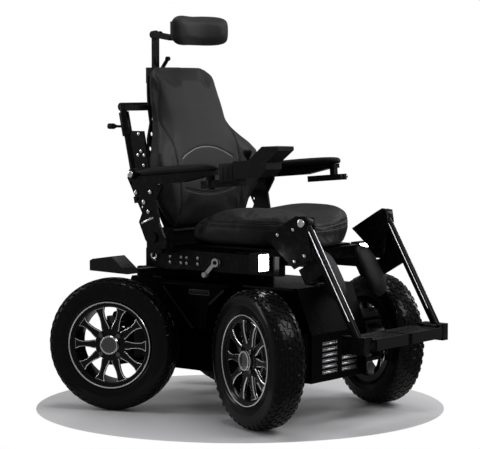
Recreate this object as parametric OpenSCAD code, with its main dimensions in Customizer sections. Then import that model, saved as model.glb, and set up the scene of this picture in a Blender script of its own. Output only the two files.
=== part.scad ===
// All terrain wheelchair with four steered wheels, a reclining tilting seat and swing-up arm rests.
// X points forward, Y to the rider's left, Z up. The origin is on the floor, in the middle of the length.

/* [Wheels] */
// Tyre outside diameter
tyre_d = 406; // [380:1:420]
// Tyre section width
tyre_w = 100; // [80:1:106]
// Rim flange diameter
rim_d = 268; // [262:1:276]
// Rim width between the outer flange faces
rim_w = 88; // [76:1:92]
// Number of spokes in a rim
spoke_count = 10; // [6:1:12]
// Distance between the front and rear axles
wheelbase = 560; // [545:1:620]
// Distance between the left and right wheel planes
track = 607; // [600:1:660]
// Angle that the wheels are turned to at rest
steer_rest = 21.5; // [0:0.5:25]
// Number of tread grooves around a tyre
tread_count = 30; // [18:1:40]

/* [Drive and steering] */
// Radius of the drive motor housing in a knuckle
motor_r = 46; // [38:1:48]
// Radius of a wheel shaft
shaft_r = 12; // [9:0.5:15]
// Radius of a kingpin
kingpin_r = 9; // [7:0.5:11]
// Half the gap between the two arms of a steering fork
fork_gap = 52; // [50:0.5:54]
// Thickness of a fork arm
fork_t = 12; // [8:0.5:14]
// Width of a fork arm
fork_w = 44; // [34:1:48]

/* [Base] */
// Distance from the middle to the outer face of a chassis rail
rail_y = 136; // [124:1:138]
// Width of a chassis rail
rail_w = 40; // [30:1:50]
// Height of a chassis rail
rail_h = 70; // [60:1:80]
// Distance from the axles down to the underside of the rails
rail_drop = 31; // [25:1:38]
// Distance from the axles down to the underside of the belly plate
belly_drop = 85; // [73:1:98]
// Distance from the tops of the tyres down to the top of the body panels
body_drop = 11; // [6:1:18]
// Distance from the middle to the body panels between the wheels
bulge_y = 200; // [185:1:215]
// Thickness of the body panels
panel_t = 4; // [3:0.5:5]
// Number of louvre rows in the front cover
louvre_rows = 6; // [4:1:7]

/* [Seat] */
// Width of the seat frame over its rails
seat_w = 430; // [400:2:440]
// Height of the underside of the seat pan over the tops of the tyres
pan_rise = 99; // [94:1:106]
// Thickness of the seat pan
pan_t = 6; // [4:0.5:8]
// Width of the seat cushion
cushion_w = 500; // [460:2:510]
// Height of the seat cushion at its lobes
cushion_h = 114; // [98:1:118]
// Reach of the seat cushion past the front axle
cushion_reach = 38; // [25:1:45]
// Height of the tilt pivot over the tops of the tyres
tilt_rise = 34; // [30:1:40]

/* [Back] */
// Height of the recline pivot over the underside of the seat pan
recline_rise = 30; // [25:1:35]
// Lean of the back from upright
back_lean = 12.5; // [10:0.5:14]
// Height of the top of the back cushion over the recline pivot
back_rise = 517; // [490:1:521]
// Width of the back cushion at its top
back_top_w = 306; // [280:2:316]
// Width of the back cushion over its side wings
back_wing_w = 496; // [470:2:504]
// Distance from the middle to the inner face of a side plate
plate_y = 270; // [264:0.5:272]
// Thickness of a side plate
plate_t = 8; // [6:0.5:9]

/* [Head rest] */
// Width of the head-rest pad
head_w = 266; // [236:2:280]
// Height of the head-rest pad
head_h = 102; // [90:1:106]
// Thickness of the head-rest pad
head_t = 58; // [48:1:62]
// Height of the middle of the head-rest pad over the top of the back cushion
head_rise = 112; // [106:1:118]

/* [Arm rests] */
// Distance from the middle to the centre of an arm rest
arm_y = 304; // [301:1:310]
// Length of an arm-rest pad
arm_pad_l = 302; // [270:2:310]
// Width of an arm-rest pad
arm_pad_w = 58; // [50:1:62]
// Thickness of an arm-rest pad
arm_pad_t = 24; // [20:1:28]
// Slope of the arm rests, rising to the front
arm_slope = 5; // [3:0.5:6]

/* [Leg rests] */
// Distance from the outer face of a seat rail in to the centre of its hanger
hanger_in = 11; // [9:0.5:12]
// Length of a hanger tube below its pivot
hanger_l = 371; // [350:1:380]
// Lean of the hangers, forward at the foot
hanger_lean = 30; // [26:0.5:32]
// Radius of a hanger tube
hanger_r = 13; // [11:0.5:14]
// Width of a foot plate
foot_w = 186; // [170:2:190]
// Length of a foot plate
foot_l = 112; // [96:1:116]

/* [Hidden] */
$fn = 48;
// Clearance of a shaft or pin that turns in its bore
run_fit = 0.05;
// Gap between faces of parts that move past each other
face_gap = 0.3;
// Overlap that lets a cut pass right through a face
cut = 1;
LEFT = 1;
RIGHT = -1;
CORNERS = ["front_left", "front_right", "rear_left", "rear_right"];

// Heights, from the wheels up
tyre_r = tyre_d / 2;
rail_z = tyre_r - rail_drop;
belly_z = tyre_r - belly_drop;
body_top = tyre_d - body_drop;
tilt_z = tyre_d + tilt_rise;
pan_z = tyre_d + pan_rise;
recline_z = pan_z + recline_rise;
back_top = recline_z + back_rise;
head_z = back_top + head_rise;
hanger_y = seat_w / 2 - hanger_in;

// Wheel proportions
rim_r = rim_d / 2;
bead_r = rim_r - 13;
barrel_r = bead_r - 6;
tread_half = tyre_w * 0.33;
tyre_wall = 9;
hub_disc_r = 50;
spoke_face = 36;
spoke_t = 12;
spoke_inset = 1;
bolt_circle = 40;
bolt_r = 5;
cap_r = 30;
flange_y = 8;
motor_out = 6;
motor_in = 48;
shaft_in = 38;
pin_top = 10;

// Length of the part: rear tyre, wheelbase and the reach of the foot plates past the front axle
rear_reach = tyre_r * cos(steer_rest) + tread_half * sin(steer_rest);
foot_reach = 327;
rear_x = (rear_reach - wheelbase - foot_reach) / 2;
front_x = rear_x + wheelbase;

function corner_x(corner) = corner[0] == "f" ? front_x : rear_x;
function corner_side(corner) = corner[len(corner) - 4] == "l" ? LEFT : RIGHT;
function corner_turn(corner) = corner[0] == "f" ? -steer_rest : steer_rest;

// Points moved towards a centre, for the inside of a panel
function drawn_in(points, centre, share) = [for (p = points) centre + (p - centre) * share];

// Flips what follows to the right-hand side
module on_side(side) {
    mirror([0, side == RIGHT ? 1 : 0, 0]) children();
}

// Puts what follows at a wheel centre, with +Y outwards, turned as the wheel is at rest
module at_wheel(corner, turned = true) {
    translate([corner_x(corner), corner_side(corner) * track / 2, tyre_r])
        rotate([0, 0, turned ? corner_turn(corner) : 0])
            on_side(corner_side(corner))
                children();
}

// A disc or rod that lies along Y, from y0 to y1
module rod_y(r, y0, y1) {
    translate([0, y1, 0]) rotate([90, 0, 0]) cylinder(r = r, h = y1 - y0);
}

// A disc or rod that lies along X, from x0 to x1
module rod_x(r, x0, x1) {
    translate([x0, 0, 0]) rotate([0, 90, 0]) cylinder(r = r, h = x1 - x0);
}

// An outline in X and Z made into a plate from y0 to y1
module xz_plate(points, y0, y1) {
    translate([0, y1, 0]) rotate([90, 0, 0]) linear_extrude(height = y1 - y0) polygon(points);
}

// A profile of radius and height spun about the wheel axis
module spun_y(points) {
    rotate([-90, 0, 0]) rotate_extrude($fn = 96) polygon(points);
}

// A box given by its lowest and highest corners
module box(low, high) {
    translate(low) cube(high - low);
}

module tyre(corner) {
    half = tyre_w / 2;
    bead = rim_w / 2 - 4;
    groove = 6;
    foot_r = rim_r + 0.12 * (tyre_r - rim_r);
    bulge_r = rim_r + 0.46 * (tyre_r - rim_r);
    color("black") at_wheel(corner) difference() {
        spun_y([
            [bead_r, -bead], [rim_r, -bead], [foot_r, -half + 4], [bulge_r, -half],
            [tyre_r - 15, -half + 3], [tyre_r - 3, -tread_half - 4], [tyre_r, -tread_half + 4],
            [tyre_r, tread_half - 4], [tyre_r - 3, tread_half + 4], [tyre_r - 15, half - 3],
            [bulge_r, half], [foot_r, half - 4], [rim_r, bead], [bead_r, bead],
            [bead_r, bead - tyre_wall], [foot_r - 2, bead - tyre_wall], [bulge_r, half - tyre_wall],
            [tyre_r - 18, half - tyre_wall - 6], [tyre_r - 18, -half + tyre_wall + 6],
            [bulge_r, -half + tyre_wall], [foot_r - 2, -bead + tyre_wall], [bead_r, -bead + tyre_wall]
        ]);
        for (i = [0 : tread_count - 1], edge = [LEFT, RIGHT])
            rotate([0, (i + (edge == LEFT ? 0 : 0.5)) * 360 / tread_count, 0])
                translate([-groove / 2, edge == LEFT ? tread_half - 12 : -half - cut, tyre_r - groove])
                    cube([groove, half - tread_half + 12 + cut, groove + cut]);
    }
}

module rim(corner) {
    half = rim_w / 2;
    lip = 4;
    back = spoke_face - spoke_t;
    color("dimgray") at_wheel(corner) difference() {
        rotate([0, 180 / spoke_count, 0]) {
            spun_y([
                [barrel_r, -half], [rim_r, -half], [rim_r, -half + lip], [bead_r, -half + lip],
                [bead_r, half - lip], [rim_r, half - lip], [rim_r, half], [barrel_r, half]
            ]);
            rod_y(hub_disc_r, back, spoke_face);
            for (i = [0 : spoke_count - 1])
                rotate([0, i * 360 / spoke_count, 0])
                    xz_plate(spoke_outline(), back + spoke_inset, spoke_face - spoke_inset);
        }
        rod_y(cap_r + run_fit, back - cut, spoke_face + cut);
        for (i = [0 : 3]) rotate([0, 45 + i * 90, 0]) translate([0, 0, bolt_circle])
            rod_y(bolt_r + run_fit, back - cut, spoke_face + cut);
    }
}

// A spoke that narrows outwards and then flares into the rim
function spoke_outline() = [
    [-11, hub_disc_r - 4], [-8, barrel_r - 30], [-10, barrel_r - 12], [-17, barrel_r + 2],
    [17, barrel_r + 2], [10, barrel_r - 12], [8, barrel_r - 30], [11, hub_disc_r - 4]
];

module hub(corner) {
    back = spoke_face - spoke_t;
    head_h = 7;
    color("silver") at_wheel(corner) {
        spun_y([
            [0, -shaft_in], [shaft_r, -shaft_in], [shaft_r, flange_y], [hub_disc_r - 2, flange_y],
            [hub_disc_r - 2, back], [cap_r, back], [cap_r, spoke_face + 5],
            [cap_r - 4, spoke_face + 9], [0, spoke_face + 10]
        ]);
        for (i = [0 : 3]) rotate([0, 45 + i * 90, 0]) translate([0, 0, bolt_circle]) {
            rod_y(bolt_r, back, spoke_face);
            rotate([0, 30, 0]) translate([0, spoke_face + head_h, 0]) rotate([90, 0, 0])
                cylinder(r = bolt_r + 3, h = head_h, $fn = 6);
        }
    }
}

module knuckle(corner) {
    boss_r = 17;
    color("gray") at_wheel(corner) difference() {
        union() {
            rod_y(motor_r, -motor_in, motor_out);
            translate([0, 0, -fork_gap + face_gap]) cylinder(r = boss_r, h = 2 * (fork_gap - face_gap));
            translate([0, 0, -fork_gap - fork_t])
                cylinder(r = kingpin_r, h = 2 * fork_gap + 2 * fork_t + pin_top);
        }
        rod_y(shaft_r + run_fit, -shaft_in - face_gap, motor_out + cut);
        // The kingpin boss is flat where the hub turns past it
        box([-boss_r, motor_out, -hub_disc_r - cut], [boss_r, boss_r + cut, hub_disc_r + cut]);
    }
}

// One fork: two arms with kingpin bores and the web that bolts to the rail
module fork() {
    web_in = track / 2 - rail_y;
    web_t = 10;
    web_half = 60;
    difference() {
        union() {
            for (z = [fork_gap, -fork_gap - fork_t]) {
                translate([0, 0, z]) cylinder(r = fork_w / 2, h = fork_t);
                box([-fork_w / 2, -web_in, z], [fork_w / 2, 0, z + fork_t]);
            }
            box([-web_half, -web_in, -fork_gap - fork_t], [web_half, -web_in + web_t, fork_gap + fork_t]);
        }
        translate([0, 0, -fork_gap - fork_t - cut])
            cylinder(r = kingpin_r + run_fit, h = 2 * fork_gap + 2 * fork_t + 2 * cut);
    }
}

module steering_forks() {
    color("dimgray") for (corner = CORNERS) at_wheel(corner, turned = false) fork();
}

module steering_motors() {
    gear_r = 23;
    gear_h = 20;
    can_r = 17;
    color("silver") for (corner = CORNERS) at_wheel(corner, turned = false) difference() {
        union() {
            translate([0, 0, fork_gap + fork_t]) cylinder(r = gear_r, h = gear_h);
            translate([0, 0, fork_gap + fork_t + can_r + 1]) rod_y(can_r, -track / 2 + rail_y + 24, -10);
        }
        translate([0, 0, fork_gap + fork_t - cut]) cylinder(r = kingpin_r + run_fit, h = pin_top + 2 * cut);
    }
}

// Base layout
rail_top = rail_z + rail_h;
rail_in = rail_y - rail_w;
belly_t = 5;
waist_y = rail_y + panel_t;
base_rear = rear_x - 95;
base_front = front_x + 65;
cover_rear = base_rear - 12;
cover_front = base_front + 8;
slope_front_z = rail_top + 20;
slope_rear_z = rail_top + 85;
slope_run = 55;
rear_run = 33;
tilt_x = rear_x + 113;
tower_y = 75;
tower_t = 10;
tilt_pin_r = 10;
actuator_x = front_x - 12;
actuator_r = 24;
tilt_rod_r = 11;
roller_r = 18;
track_z = pan_z - 35;

module chassis_frame() {
    wall = 6;
    tower_half = 45;
    tower_top = 16;
    cross_l = 74;
    cross_h = 30;
    color("dimgray") difference() {
        union() {
            box([base_rear, -rail_y, belly_z], [base_front, rail_y, belly_z + belly_t]);
            for (side = [LEFT, RIGHT]) on_side(side) {
                box([base_rear, rail_in, rail_z], [base_front, rail_y, rail_top]);
                box([base_rear, rail_y - wall, belly_z], [base_front, rail_y, rail_z + cut]);
                xz_plate(
                    [[tilt_x - tower_half, rail_top - cut], [tilt_x - tower_top, tilt_z + 12],
                     [tilt_x + tower_top, tilt_z + 12], [tilt_x + tower_half, rail_top - cut]],
                    tower_y - tower_t, tower_y
                );
            }
            for (x = [base_rear, tilt_x - tower_half, base_front - cross_l])
                box([x, -rail_in - cut, rail_top - cross_h], [x + cross_l, rail_in + cut, rail_top]);
        }
        translate([tilt_x, 0, tilt_z]) rod_y(tilt_pin_r + run_fit, -tower_y - cut, tower_y + cut);
    }
}

battery_rear = tilt_x + 62;
battery_gap = 4;
battery_l = (actuator_x - actuator_r - 5 - battery_rear - battery_gap) / 2;
battery_h = 166;

module batteries() {
    color("darkslategray") for (i = [0, 1])
        translate([battery_rear + i * (battery_l + battery_gap), 0, belly_z + belly_t]) {
            box([0, -rail_in + 4, 0], [battery_l, rail_in - 4, battery_h]);
            for (y = [-60, 60]) translate([30, y, battery_h]) cylinder(r = 8, h = 12);
        }
}

module controller() {
    color("slategray") translate([base_rear + 14, 0, belly_z + belly_t]) {
        box([0, -70, 0], [110, 70, 62]);
        for (i = [0 : 6]) box([6 + i * 15, -66, 62 - cut], [10 + i * 15, 66, 74]);
    }
}

// Side outline of the whole body, from the belly to the top, inside the end covers
function body_outline() = [
    [cover_rear + panel_t, belly_z], [cover_front - panel_t, belly_z],
    [cover_front - panel_t, slope_front_z], [cover_front - panel_t - slope_run, body_top],
    [cover_rear + panel_t + rear_run, body_top],
    [cover_rear + panel_t, slope_rear_z]
];

// Outline of the wide middle of the body, between the swept wheels
function bulge_outline() = [
    [rear_x + 90, body_top], [front_x - 192, body_top], [front_x - 264, body_top - 58],
    [front_x - 278, rail_top + 8], [rear_x + 231, rail_top + 8]
];

module side_panel(side) {
    window_x = 72;
    window_z = fork_gap + fork_t + 8;
    tower_room = 52;
    rod_room = 30;
    bulge_centre = [(rear_x + front_x) / 2 - 45, body_top - 62];
    bulge_inner = drawn_in(bulge_outline(), bulge_centre, 0.86);
    step = 16;
    color("black") on_side(side) {
        difference() {
            union() {
                xz_plate(body_outline(), rail_y, waist_y);
                box([cover_rear + panel_t + rear_run, 0, body_top - panel_t],
                    [cover_front - panel_t - slope_run, waist_y, body_top]);
            }
            for (x = [rear_x, front_x])
                box([x - window_x, rail_y - cut, tyre_r - window_z],
                    [x + window_x, waist_y + cut, tyre_r + window_z]);
            box([tilt_x - tower_room, -cut, body_top - panel_t - cut],
                [tilt_x + tower_room, tower_y + 12, body_top + cut]);
            translate([actuator_x, 0, body_top - panel_t - cut])
                cylinder(r = rod_room, h = panel_t + 2 * cut);
        }
        difference() {
            union() {
                xz_plate(bulge_outline(), waist_y - cut, bulge_y - step);
                xz_plate(drawn_in(bulge_outline(), bulge_centre, 0.9), bulge_y - step - cut, bulge_y);
            }
            xz_plate(bulge_inner, waist_y - 2 * cut, bulge_y - panel_t);
        }
    }
}

module front_cover() {
    slot_w = 74;
    slot_h = 8;
    louvre_pitch = 17;
    louvre_z = belly_z + 24;
    color("black") difference() {
        xz_plate(
            [[cover_front, belly_z], [cover_front, slope_front_z], [cover_front - slope_run, body_top],
             [cover_front - slope_run - panel_t, body_top], [cover_front - panel_t, slope_front_z],
             [cover_front - panel_t, belly_z]],
            -waist_y, waist_y
        );
        for (row = [0 : louvre_rows - 1], y = [-slot_w - 12, 12])
            box([cover_front - panel_t - cut, y, louvre_z + row * louvre_pitch],
                [cover_front + cut, y + slot_w, louvre_z + row * louvre_pitch + slot_h]);
    }
}

module rear_cover() {
    color("black") xz_plate(
        [[cover_rear, belly_z], [cover_rear + panel_t, belly_z], [cover_rear + panel_t, slope_rear_z],
         [cover_rear + rear_run + panel_t, body_top], [cover_rear + rear_run, body_top],
         [cover_rear, slope_rear_z]],
        -waist_y, waist_y
    );
}

tail_y = 232;
tail_w = 66;
tail_z = tyre_d + 12;
tail_rear = rear_x - 107;

module tail_arms() {
    foot_in = 96;
    color("black") for (side = [LEFT, RIGHT]) on_side(side) {
        box([rear_x + 14, foot_in, body_top], [rear_x + 50, waist_y, body_top + 6]);
        box([rear_x + 14, foot_in, body_top + 6 - cut], [rear_x + 50, foot_in + 14, tail_z + 12]);
        box([rear_x + 14, foot_in, tail_z], [rear_x + 50, tail_y + cut, tail_z + 12]);
        xz_plate(
            [[tail_rear, tail_z + 3], [tail_rear, tail_z + 34], [tail_rear + 12, tail_z + 40],
             [tail_rear + 86, tail_z + 51], [rear_x + 30, tail_z + 14], [rear_x + 50, tail_z]],
            tail_y, tail_y + tail_w
        );
    }
}

module tail_lenses() {
    lens_t = 5;
    color("darkred") for (side = [LEFT, RIGHT]) on_side(side)
        box([tail_rear - lens_t, tail_y + 5, tail_z + 7], [tail_rear, tail_y + tail_w - 5, tail_z + 31]);
}

module tilt_actuator() {
    tube_top = body_top - 6;
    color("gray") difference() {
        translate([actuator_x, 0, rail_top]) cylinder(r = actuator_r, h = tube_top - rail_top);
        translate([actuator_x, 0, rail_top + 10])
            cylinder(r = tilt_rod_r + run_fit, h = tube_top - rail_top);
    }
}

module tilt_rod() {
    roller_w = 34;
    roller_z = track_z - face_gap - roller_r;
    color("silver") translate([actuator_x, 0, 0]) {
        translate([0, 0, rail_top + 14]) cylinder(r = tilt_rod_r, h = roller_z - rail_top - 14);
        translate([0, 0, roller_z]) rod_y(roller_r, -roller_w / 2, roller_w / 2);
    }
}

// Free-wheel release lever on the right-hand seat rail
lever_x = -8;
lever_z = pan_z - 40;
lever_pin_r = 6;

module release_lever() {
    rail_face = seat_w / 2;
    color("silver") translate([lever_x, 0, lever_z]) on_side(RIGHT) difference() {
        union() {
            rod_y(13, rail_face + face_gap, rail_face + 10);
            rotate([0, 45, 0]) box([-6, rail_face + face_gap, -54], [6, rail_face + 10, 0]);
            rotate([0, 45, 0]) translate([0, 0, -54]) rod_y(8, rail_face + face_gap, rail_face + 16);
        }
        rod_y(lever_pin_r + run_fit, rail_face, rail_face + 10 + cut);
    }
}

// Seat layout
pan_rear = tilt_x + 15;
pan_front = front_x - 10;
rail_seat_w = 30;
rail_seat_z = pan_z - 68;
rail_seat_top = pan_z - 10;
rail_front = front_x + 10;
beam_z = pan_z - 45;
recline_x = tilt_x + 25;
recline_pin_r = 10;
knee_x = front_x + tyre_r - 106;
knee_z = pan_z + 93;
leg_x = front_x - 80;
knee_pin_r = 8;
knee_boss_r = 20;
bracket_t = 8;
bracket_y = hanger_y - hanger_r - face_gap - bracket_t;
lamp_x = front_x - 40;
lamp_w = 58;
lamp_l = 24;
lamp_fin = 14;
lamp_y = seat_w / 2 + 38;
lamp_z = pan_z - 26;

module seat_frame() {
    half = seat_w / 2;
    inner = half - rail_seat_w;
    pan_half = half - 45;
    color("dimgray") {
        box([pan_rear, -pan_half, pan_z], [pan_front, pan_half, pan_z + pan_t]);
        box([tilt_x - 20, -inner - cut, beam_z], [tilt_x + 20, inner + cut, pan_z + cut]);
        box([actuator_x - 30, -inner - cut, track_z], [actuator_x + 30, inner + cut, pan_z + cut]);
        for (side = [LEFT, RIGHT]) on_side(side) {
            box([tilt_x - 60, inner, rail_seat_z], [rail_front, half, rail_seat_top]);
            // Tilt pivot lug and pin, outside the chassis tower
            difference() {
                xz_plate(
                    [[tilt_x - 18, tilt_z - 16], [tilt_x + 18, tilt_z - 16],
                     [tilt_x + 20, beam_z + cut], [tilt_x - 20, beam_z + cut]],
                    tower_y + face_gap, tower_y + face_gap + 10
                );
                translate([tilt_x, 0, tilt_z]) rod_y(tilt_pin_r, tower_y, tower_y + 12);
            }
            // Recline bracket and pin
            difference() {
                box([recline_x - 34, half - cut, pan_z - 20],
                    [recline_x + 26, plate_y - face_gap, recline_z + 26]);
                translate([recline_x, 0, recline_z]) rod_y(recline_pin_r, plate_y - 12, plate_y);
            }
            translate([recline_x, 0, recline_z]) {
                rod_y(recline_pin_r, plate_y - 12, plate_y + plate_t + 1);
                rod_y(recline_pin_r + 6, plate_y + plate_t + face_gap, plate_y + plate_t + 6);
            }
            // Leg-rest bracket and pin
            xz_plate(
                [[leg_x, beam_z + 8], [knee_x + 4, beam_z + 8],
                 [knee_x + 22, knee_z - 8], [knee_x + 16, knee_z + 16],
                 [knee_x - 8, knee_z + 16], [knee_x - 20, knee_z - 28],
                 [knee_x - 28, pan_z - 6], [leg_x, pan_z - 6]],
                bracket_y, bracket_y + bracket_t
            );
            translate([knee_x, 0, knee_z]) rod_y(knee_pin_r, bracket_y, hanger_y + hanger_r + 2);
            // Head-lamp bracket
            box([lamp_x - lamp_fin - 12, half - cut, lamp_z - 14],
                [lamp_x - lamp_fin, lamp_y + 10, lamp_z + 14]);
        }
        translate([tilt_x, 0, tilt_z]) rod_y(tilt_pin_r, -tower_y - 14, tower_y + 14);
        translate([lever_x, 0, lever_z]) on_side(RIGHT) rod_y(lever_pin_r, half - cut, half + 12);
    }
}

module headlamps() {
    lens_w = 50;
    lens_x = lamp_l - 6;
    fin_pitch = 9;
    color("black") for (side = [LEFT, RIGHT]) on_side(side) translate([lamp_x, lamp_y, lamp_z]) {
        difference() {
            box([-6, -lamp_w / 2, -lamp_w / 2], [lamp_l, lamp_w / 2, lamp_w / 2]);
            box([lens_x, -lens_w / 2, -lens_w / 2], [lamp_l + cut, lens_w / 2, lens_w / 2]);
        }
        for (i = [-2 : 2])
            box([-lamp_fin, i * fin_pitch - 2, -lens_w / 2], [-6 + cut, i * fin_pitch + 2, lens_w / 2]);
    }
}

// A closed skin over rings of points, with a fan at each end
module skin(rings) {
    n = len(rings[0]);
    m = len(rings);
    ends = [for (k = [0, m - 1]) [for (a = [0 : 2]) sum_of([for (p = rings[k]) p[a]]) / n]];
    points = concat([for (ring = rings) each ring], ends);
    sides = [for (i = [0 : m - 2], j = [0 : n - 1]) each [
        [i * n + j, i * n + (j + 1) % n, (i + 1) * n + j],
        [i * n + (j + 1) % n, (i + 1) * n + (j + 1) % n, (i + 1) * n + j]
    ]];
    first = [for (j = [0 : n - 1]) [m * n, (j + 1) % n, j]];
    last = [for (j = [0 : n - 1]) [m * n + 1, (m - 1) * n + j, (m - 1) * n + (j + 1) % n]];
    polyhedron(points = points, faces = concat(sides, first, last));
}

function sum_of(list, i = 0) = i < len(list) ? list[i] + sum_of(list, i + 1) : 0;
function bump(distance, width) = exp(-pow(distance / width, 2));
function eased(t) = t < 0 ? 0 : t > 1 ? 1 : t * t * (3 - 2 * t);
function power_curve(value, share) = sign(value) * pow(abs(value), share);

// Seat cushion: plan half-width and the height of its top over the pan
cushion_rear = recline_x + 18;
cushion_front = front_x + cushion_reach;
cushion_rows = 26;
cushion_cols = 36;
cushion_base = pan_z + pan_t;
cushion_half = cushion_w / 2 - 7;

function seat_half(x) =
    let (rear = 186 + (cushion_half - 186) * eased((x - recline_x - 60) / 130),
         t = max(0, (x - front_x + 157) / (cushion_front - front_x + 157)))
    rear * sqrt(max(0.0004, 1 - pow(t, 2.6)));

function seat_top(x, y) =
    cushion_h * (0.6 + 0.4 * eased((x - recline_x - 20) / 240))
    - 24 * bump(y, 90) * eased((x - recline_x - 90) / 150)
    - 34 * pow(max(0, (x - cushion_front + 75) / 75), 2);

// One cross section of the cushion: a flat underside, drawn-in sides and a crowned top
function seat_ring(x, squeeze) = [
    for (j = [0 : cushion_cols - 1])
        let (a = j * 360 / cushion_cols,
             half = seat_half(x) * squeeze,
             y = half * power_curve(cos(a), 0.62),
             up = power_curve(sin(a), 0.62),
             top = seat_top(x, y),
             waist = 1 - 0.035 * bump(up + 0.05, 0.35))
        [x, y * waist, cushion_base + max(0, top * (0.5 + 0.5 * up) * (0.55 + 0.45 * squeeze))]
];

// The rear end of the cushion rounds off over its first rows
function rear_round(t) = 0.5 + 0.5 * pow(sin(90 * min(1, t * 7)), 0.6);

module seat_cushion() {
    color("black") skin([
        for (i = [0 : cushion_rows])
            let (t = 0.5 - 0.5 * cos(180 * i / cushion_rows))
            seat_ring(cushion_rear + (cushion_front - cushion_rear) * t, rear_round(t))
    ]);
}

// Back layout: the shell leans from a foot behind the recline pivot
back_x = recline_x - 33;
shell_t = 6;
shell_foot = 8;
shell_wide = 198;
back_l = (back_top - recline_z) / cos(back_lean);
arm_x = recline_x - 45;
arm_z = recline_z + 192;
arm_pin_r = 8;
arm_w = 38;
arm_in = arm_y - arm_w / 2;

// Puts what follows on the leaning back: X out of the back, Z up along it
module at_back() {
    translate([back_x, 0, recline_z]) rotate([0, -back_lean, 0]) children();
}

// Half-width of the back at a height up the lean
function back_half(w) =
    let (top = back_top_w / 2, wing = back_wing_w / 2)
    top + 24 * eased((back_l - w) / 150) + (wing - top - 24) * eased((back_l - 165 - w) / 150)
    - 62 * eased((140 - w) / 130) - 22 * pow(max(0, (w - back_l + 40) / 40), 2);

// How far the side wings stand forward at a height up the lean
function wing_reach(w) = 80 * eased((back_l - 175 - w) / 130) * (1 - 0.75 * eased((190 - w) / 110));

// Head-rest stem: a flat bar that stands upright in the clamp behind the back
stem_x = back_x - 199;
stem_z = back_top - 2;
stem_t = 9;
stem_w = 28;
stem_top = head_z + 4;
clamp_h = 50;
clamp_pin_r = 5;
slide_fit = 0.1;

cushion_back_t = 46;
back_rows = 28;
back_cols = 38;

// Depth of the cushion's front face: a crown, a lumbar swell and the wings
function back_depth(w, y) =
    let (share = min(1, abs(y) / back_half(w)))
    cushion_back_t * (1 - 0.28 * eased((w - 330) / 190) - 0.2 * eased((130 - w) / 100))
    + 8 * bump(w - 215, 90) * (1 - share)
    + 10 * (1 - pow(share, 2)) + wing_reach(w) * pow(share, 4);

function back_ring(w, squeeze) = [
    for (j = [0 : back_cols - 1])
        let (a = j * 360 / back_cols,
             flat = power_curve(cos(a), 0.5),
             out = power_curve(sin(a), 0.7),
             half = back_half(w) * (0.8 + 0.2 * squeeze),
             rim = min(half, plate_y - 8),
             depth = back_depth(w, half * flat))
        [depth * squeeze * (0.5 + 0.5 * out), out > 0 ? half * flat : rim * flat, w]
];

module back_cushion() {
    foot = shell_foot + 2;
    color("black") at_back() skin([
        for (i = [0 : back_rows])
            let (t = 0.5 - 0.5 * cos(180 * i / back_rows),
                 near_end = min(0.5, min(t, 1 - t) * 6))
            back_ring(foot + (back_l - foot) * t, 0.45 + 0.55 * pow(sin(180 * near_end), 0.7))
    ]);
}

module back_shell() {
    edge = 14;
    hole_r = 7;
    rows = 7;
    steps = 10;
    heights = [for (i = [0 : steps]) shell_foot + (back_l - 30 - shell_foot) * i / steps];
    color("black") at_back() difference() {
        translate([-shell_t, 0, 0]) rotate([90, 0, 90]) linear_extrude(height = shell_t) polygon(concat(
            [for (i = [0 : steps]) [shell_half(heights[i], edge), heights[i]]],
            [for (i = [steps : -1 : 0]) [-shell_half(heights[i], edge), heights[i]]]
        ));
        for (side = [LEFT, RIGHT], i = [0 : rows - 1])
            let (w = shell_foot + 124 + i * 46)
            translate([0, side * (shell_half(w, edge) - 16), w]) rod_x(hole_r, -shell_t - cut, cut);
    }
}

function shell_half(w, edge) = min(back_half(w) - edge, shell_wide);

// Slanted side plate, with its outline worked from the recline and arm pivots
function side_plate() = [
    [recline_x - 10, recline_z - 32], [recline_x + 52, recline_z - 32], [recline_x + 44, recline_z],
    [recline_x + 22, recline_z + 46], [recline_x + 10, recline_z + 112], [arm_x + 80, arm_z - 38],
    [arm_x + 82, arm_z - 6], [arm_x + 24, arm_z + 10], [arm_x - 44, arm_z + 8], [arm_x - 60, arm_z - 14],
    [recline_x - 45, recline_z + 72], [recline_x - 58, recline_z + 44], [recline_x - 32, recline_z - 10]
];

// Cross bars behind the shell: heights up the lean, and their section
lower_bar = 118;
upper_bar = 178;
bar = 20;

module back_frame() {
    spine_half = 26;
    color("dimgray") {
        difference() {
            union() {
                for (side = [LEFT, RIGHT]) on_side(side) {
                    xz_plate(side_plate(), plate_y, plate_y + plate_t);
                    translate([arm_x, 0, arm_z]) {
                        rod_y(14, plate_y + plate_t - cut, arm_in - face_gap);
                        rod_y(arm_pin_r, arm_in - cut, arm_in + arm_w + 2);
                        rod_y(14, arm_in + arm_w + face_gap, arm_in + arm_w + 5);
                    }
                }
                at_back() {
                    for (w = [lower_bar, upper_bar])
                        box([-shell_t - bar, -plate_y - cut, w - bar / 2],
                            [-shell_t, plate_y + cut, w + bar / 2]);
                    box([-shell_t - 8, -spine_half, lower_bar], [-shell_t, spine_half, back_l - 32]);
                }
                // Head-rest clamp block at the top of the spine
                box([stem_x - 20, -24, stem_z - clamp_h], [stem_x + 84, 24, stem_z]);
            }
            for (side = [LEFT, RIGHT]) on_side(side) {
                translate([recline_x, 0, recline_z])
                    rod_y(recline_pin_r + run_fit, plate_y - cut, plate_y + plate_t + cut);
                for (i = [0 : 3]) translate([arm_x - 44 + i * 14, 0, arm_z - 30 - i * 24])
                    rod_y(5, plate_y - cut, plate_y + plate_t + cut);
            }
            box([stem_x - stem_t / 2 - slide_fit, -stem_w / 2 - slide_fit, stem_z - clamp_h - cut],
                [stem_x + stem_t / 2 + slide_fit, stem_w / 2 + slide_fit, stem_z + cut]);
            translate([stem_x - 8, 0, stem_z - 16]) rod_y(clamp_pin_r + run_fit, 20, 26);
        }
    }
}

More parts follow.
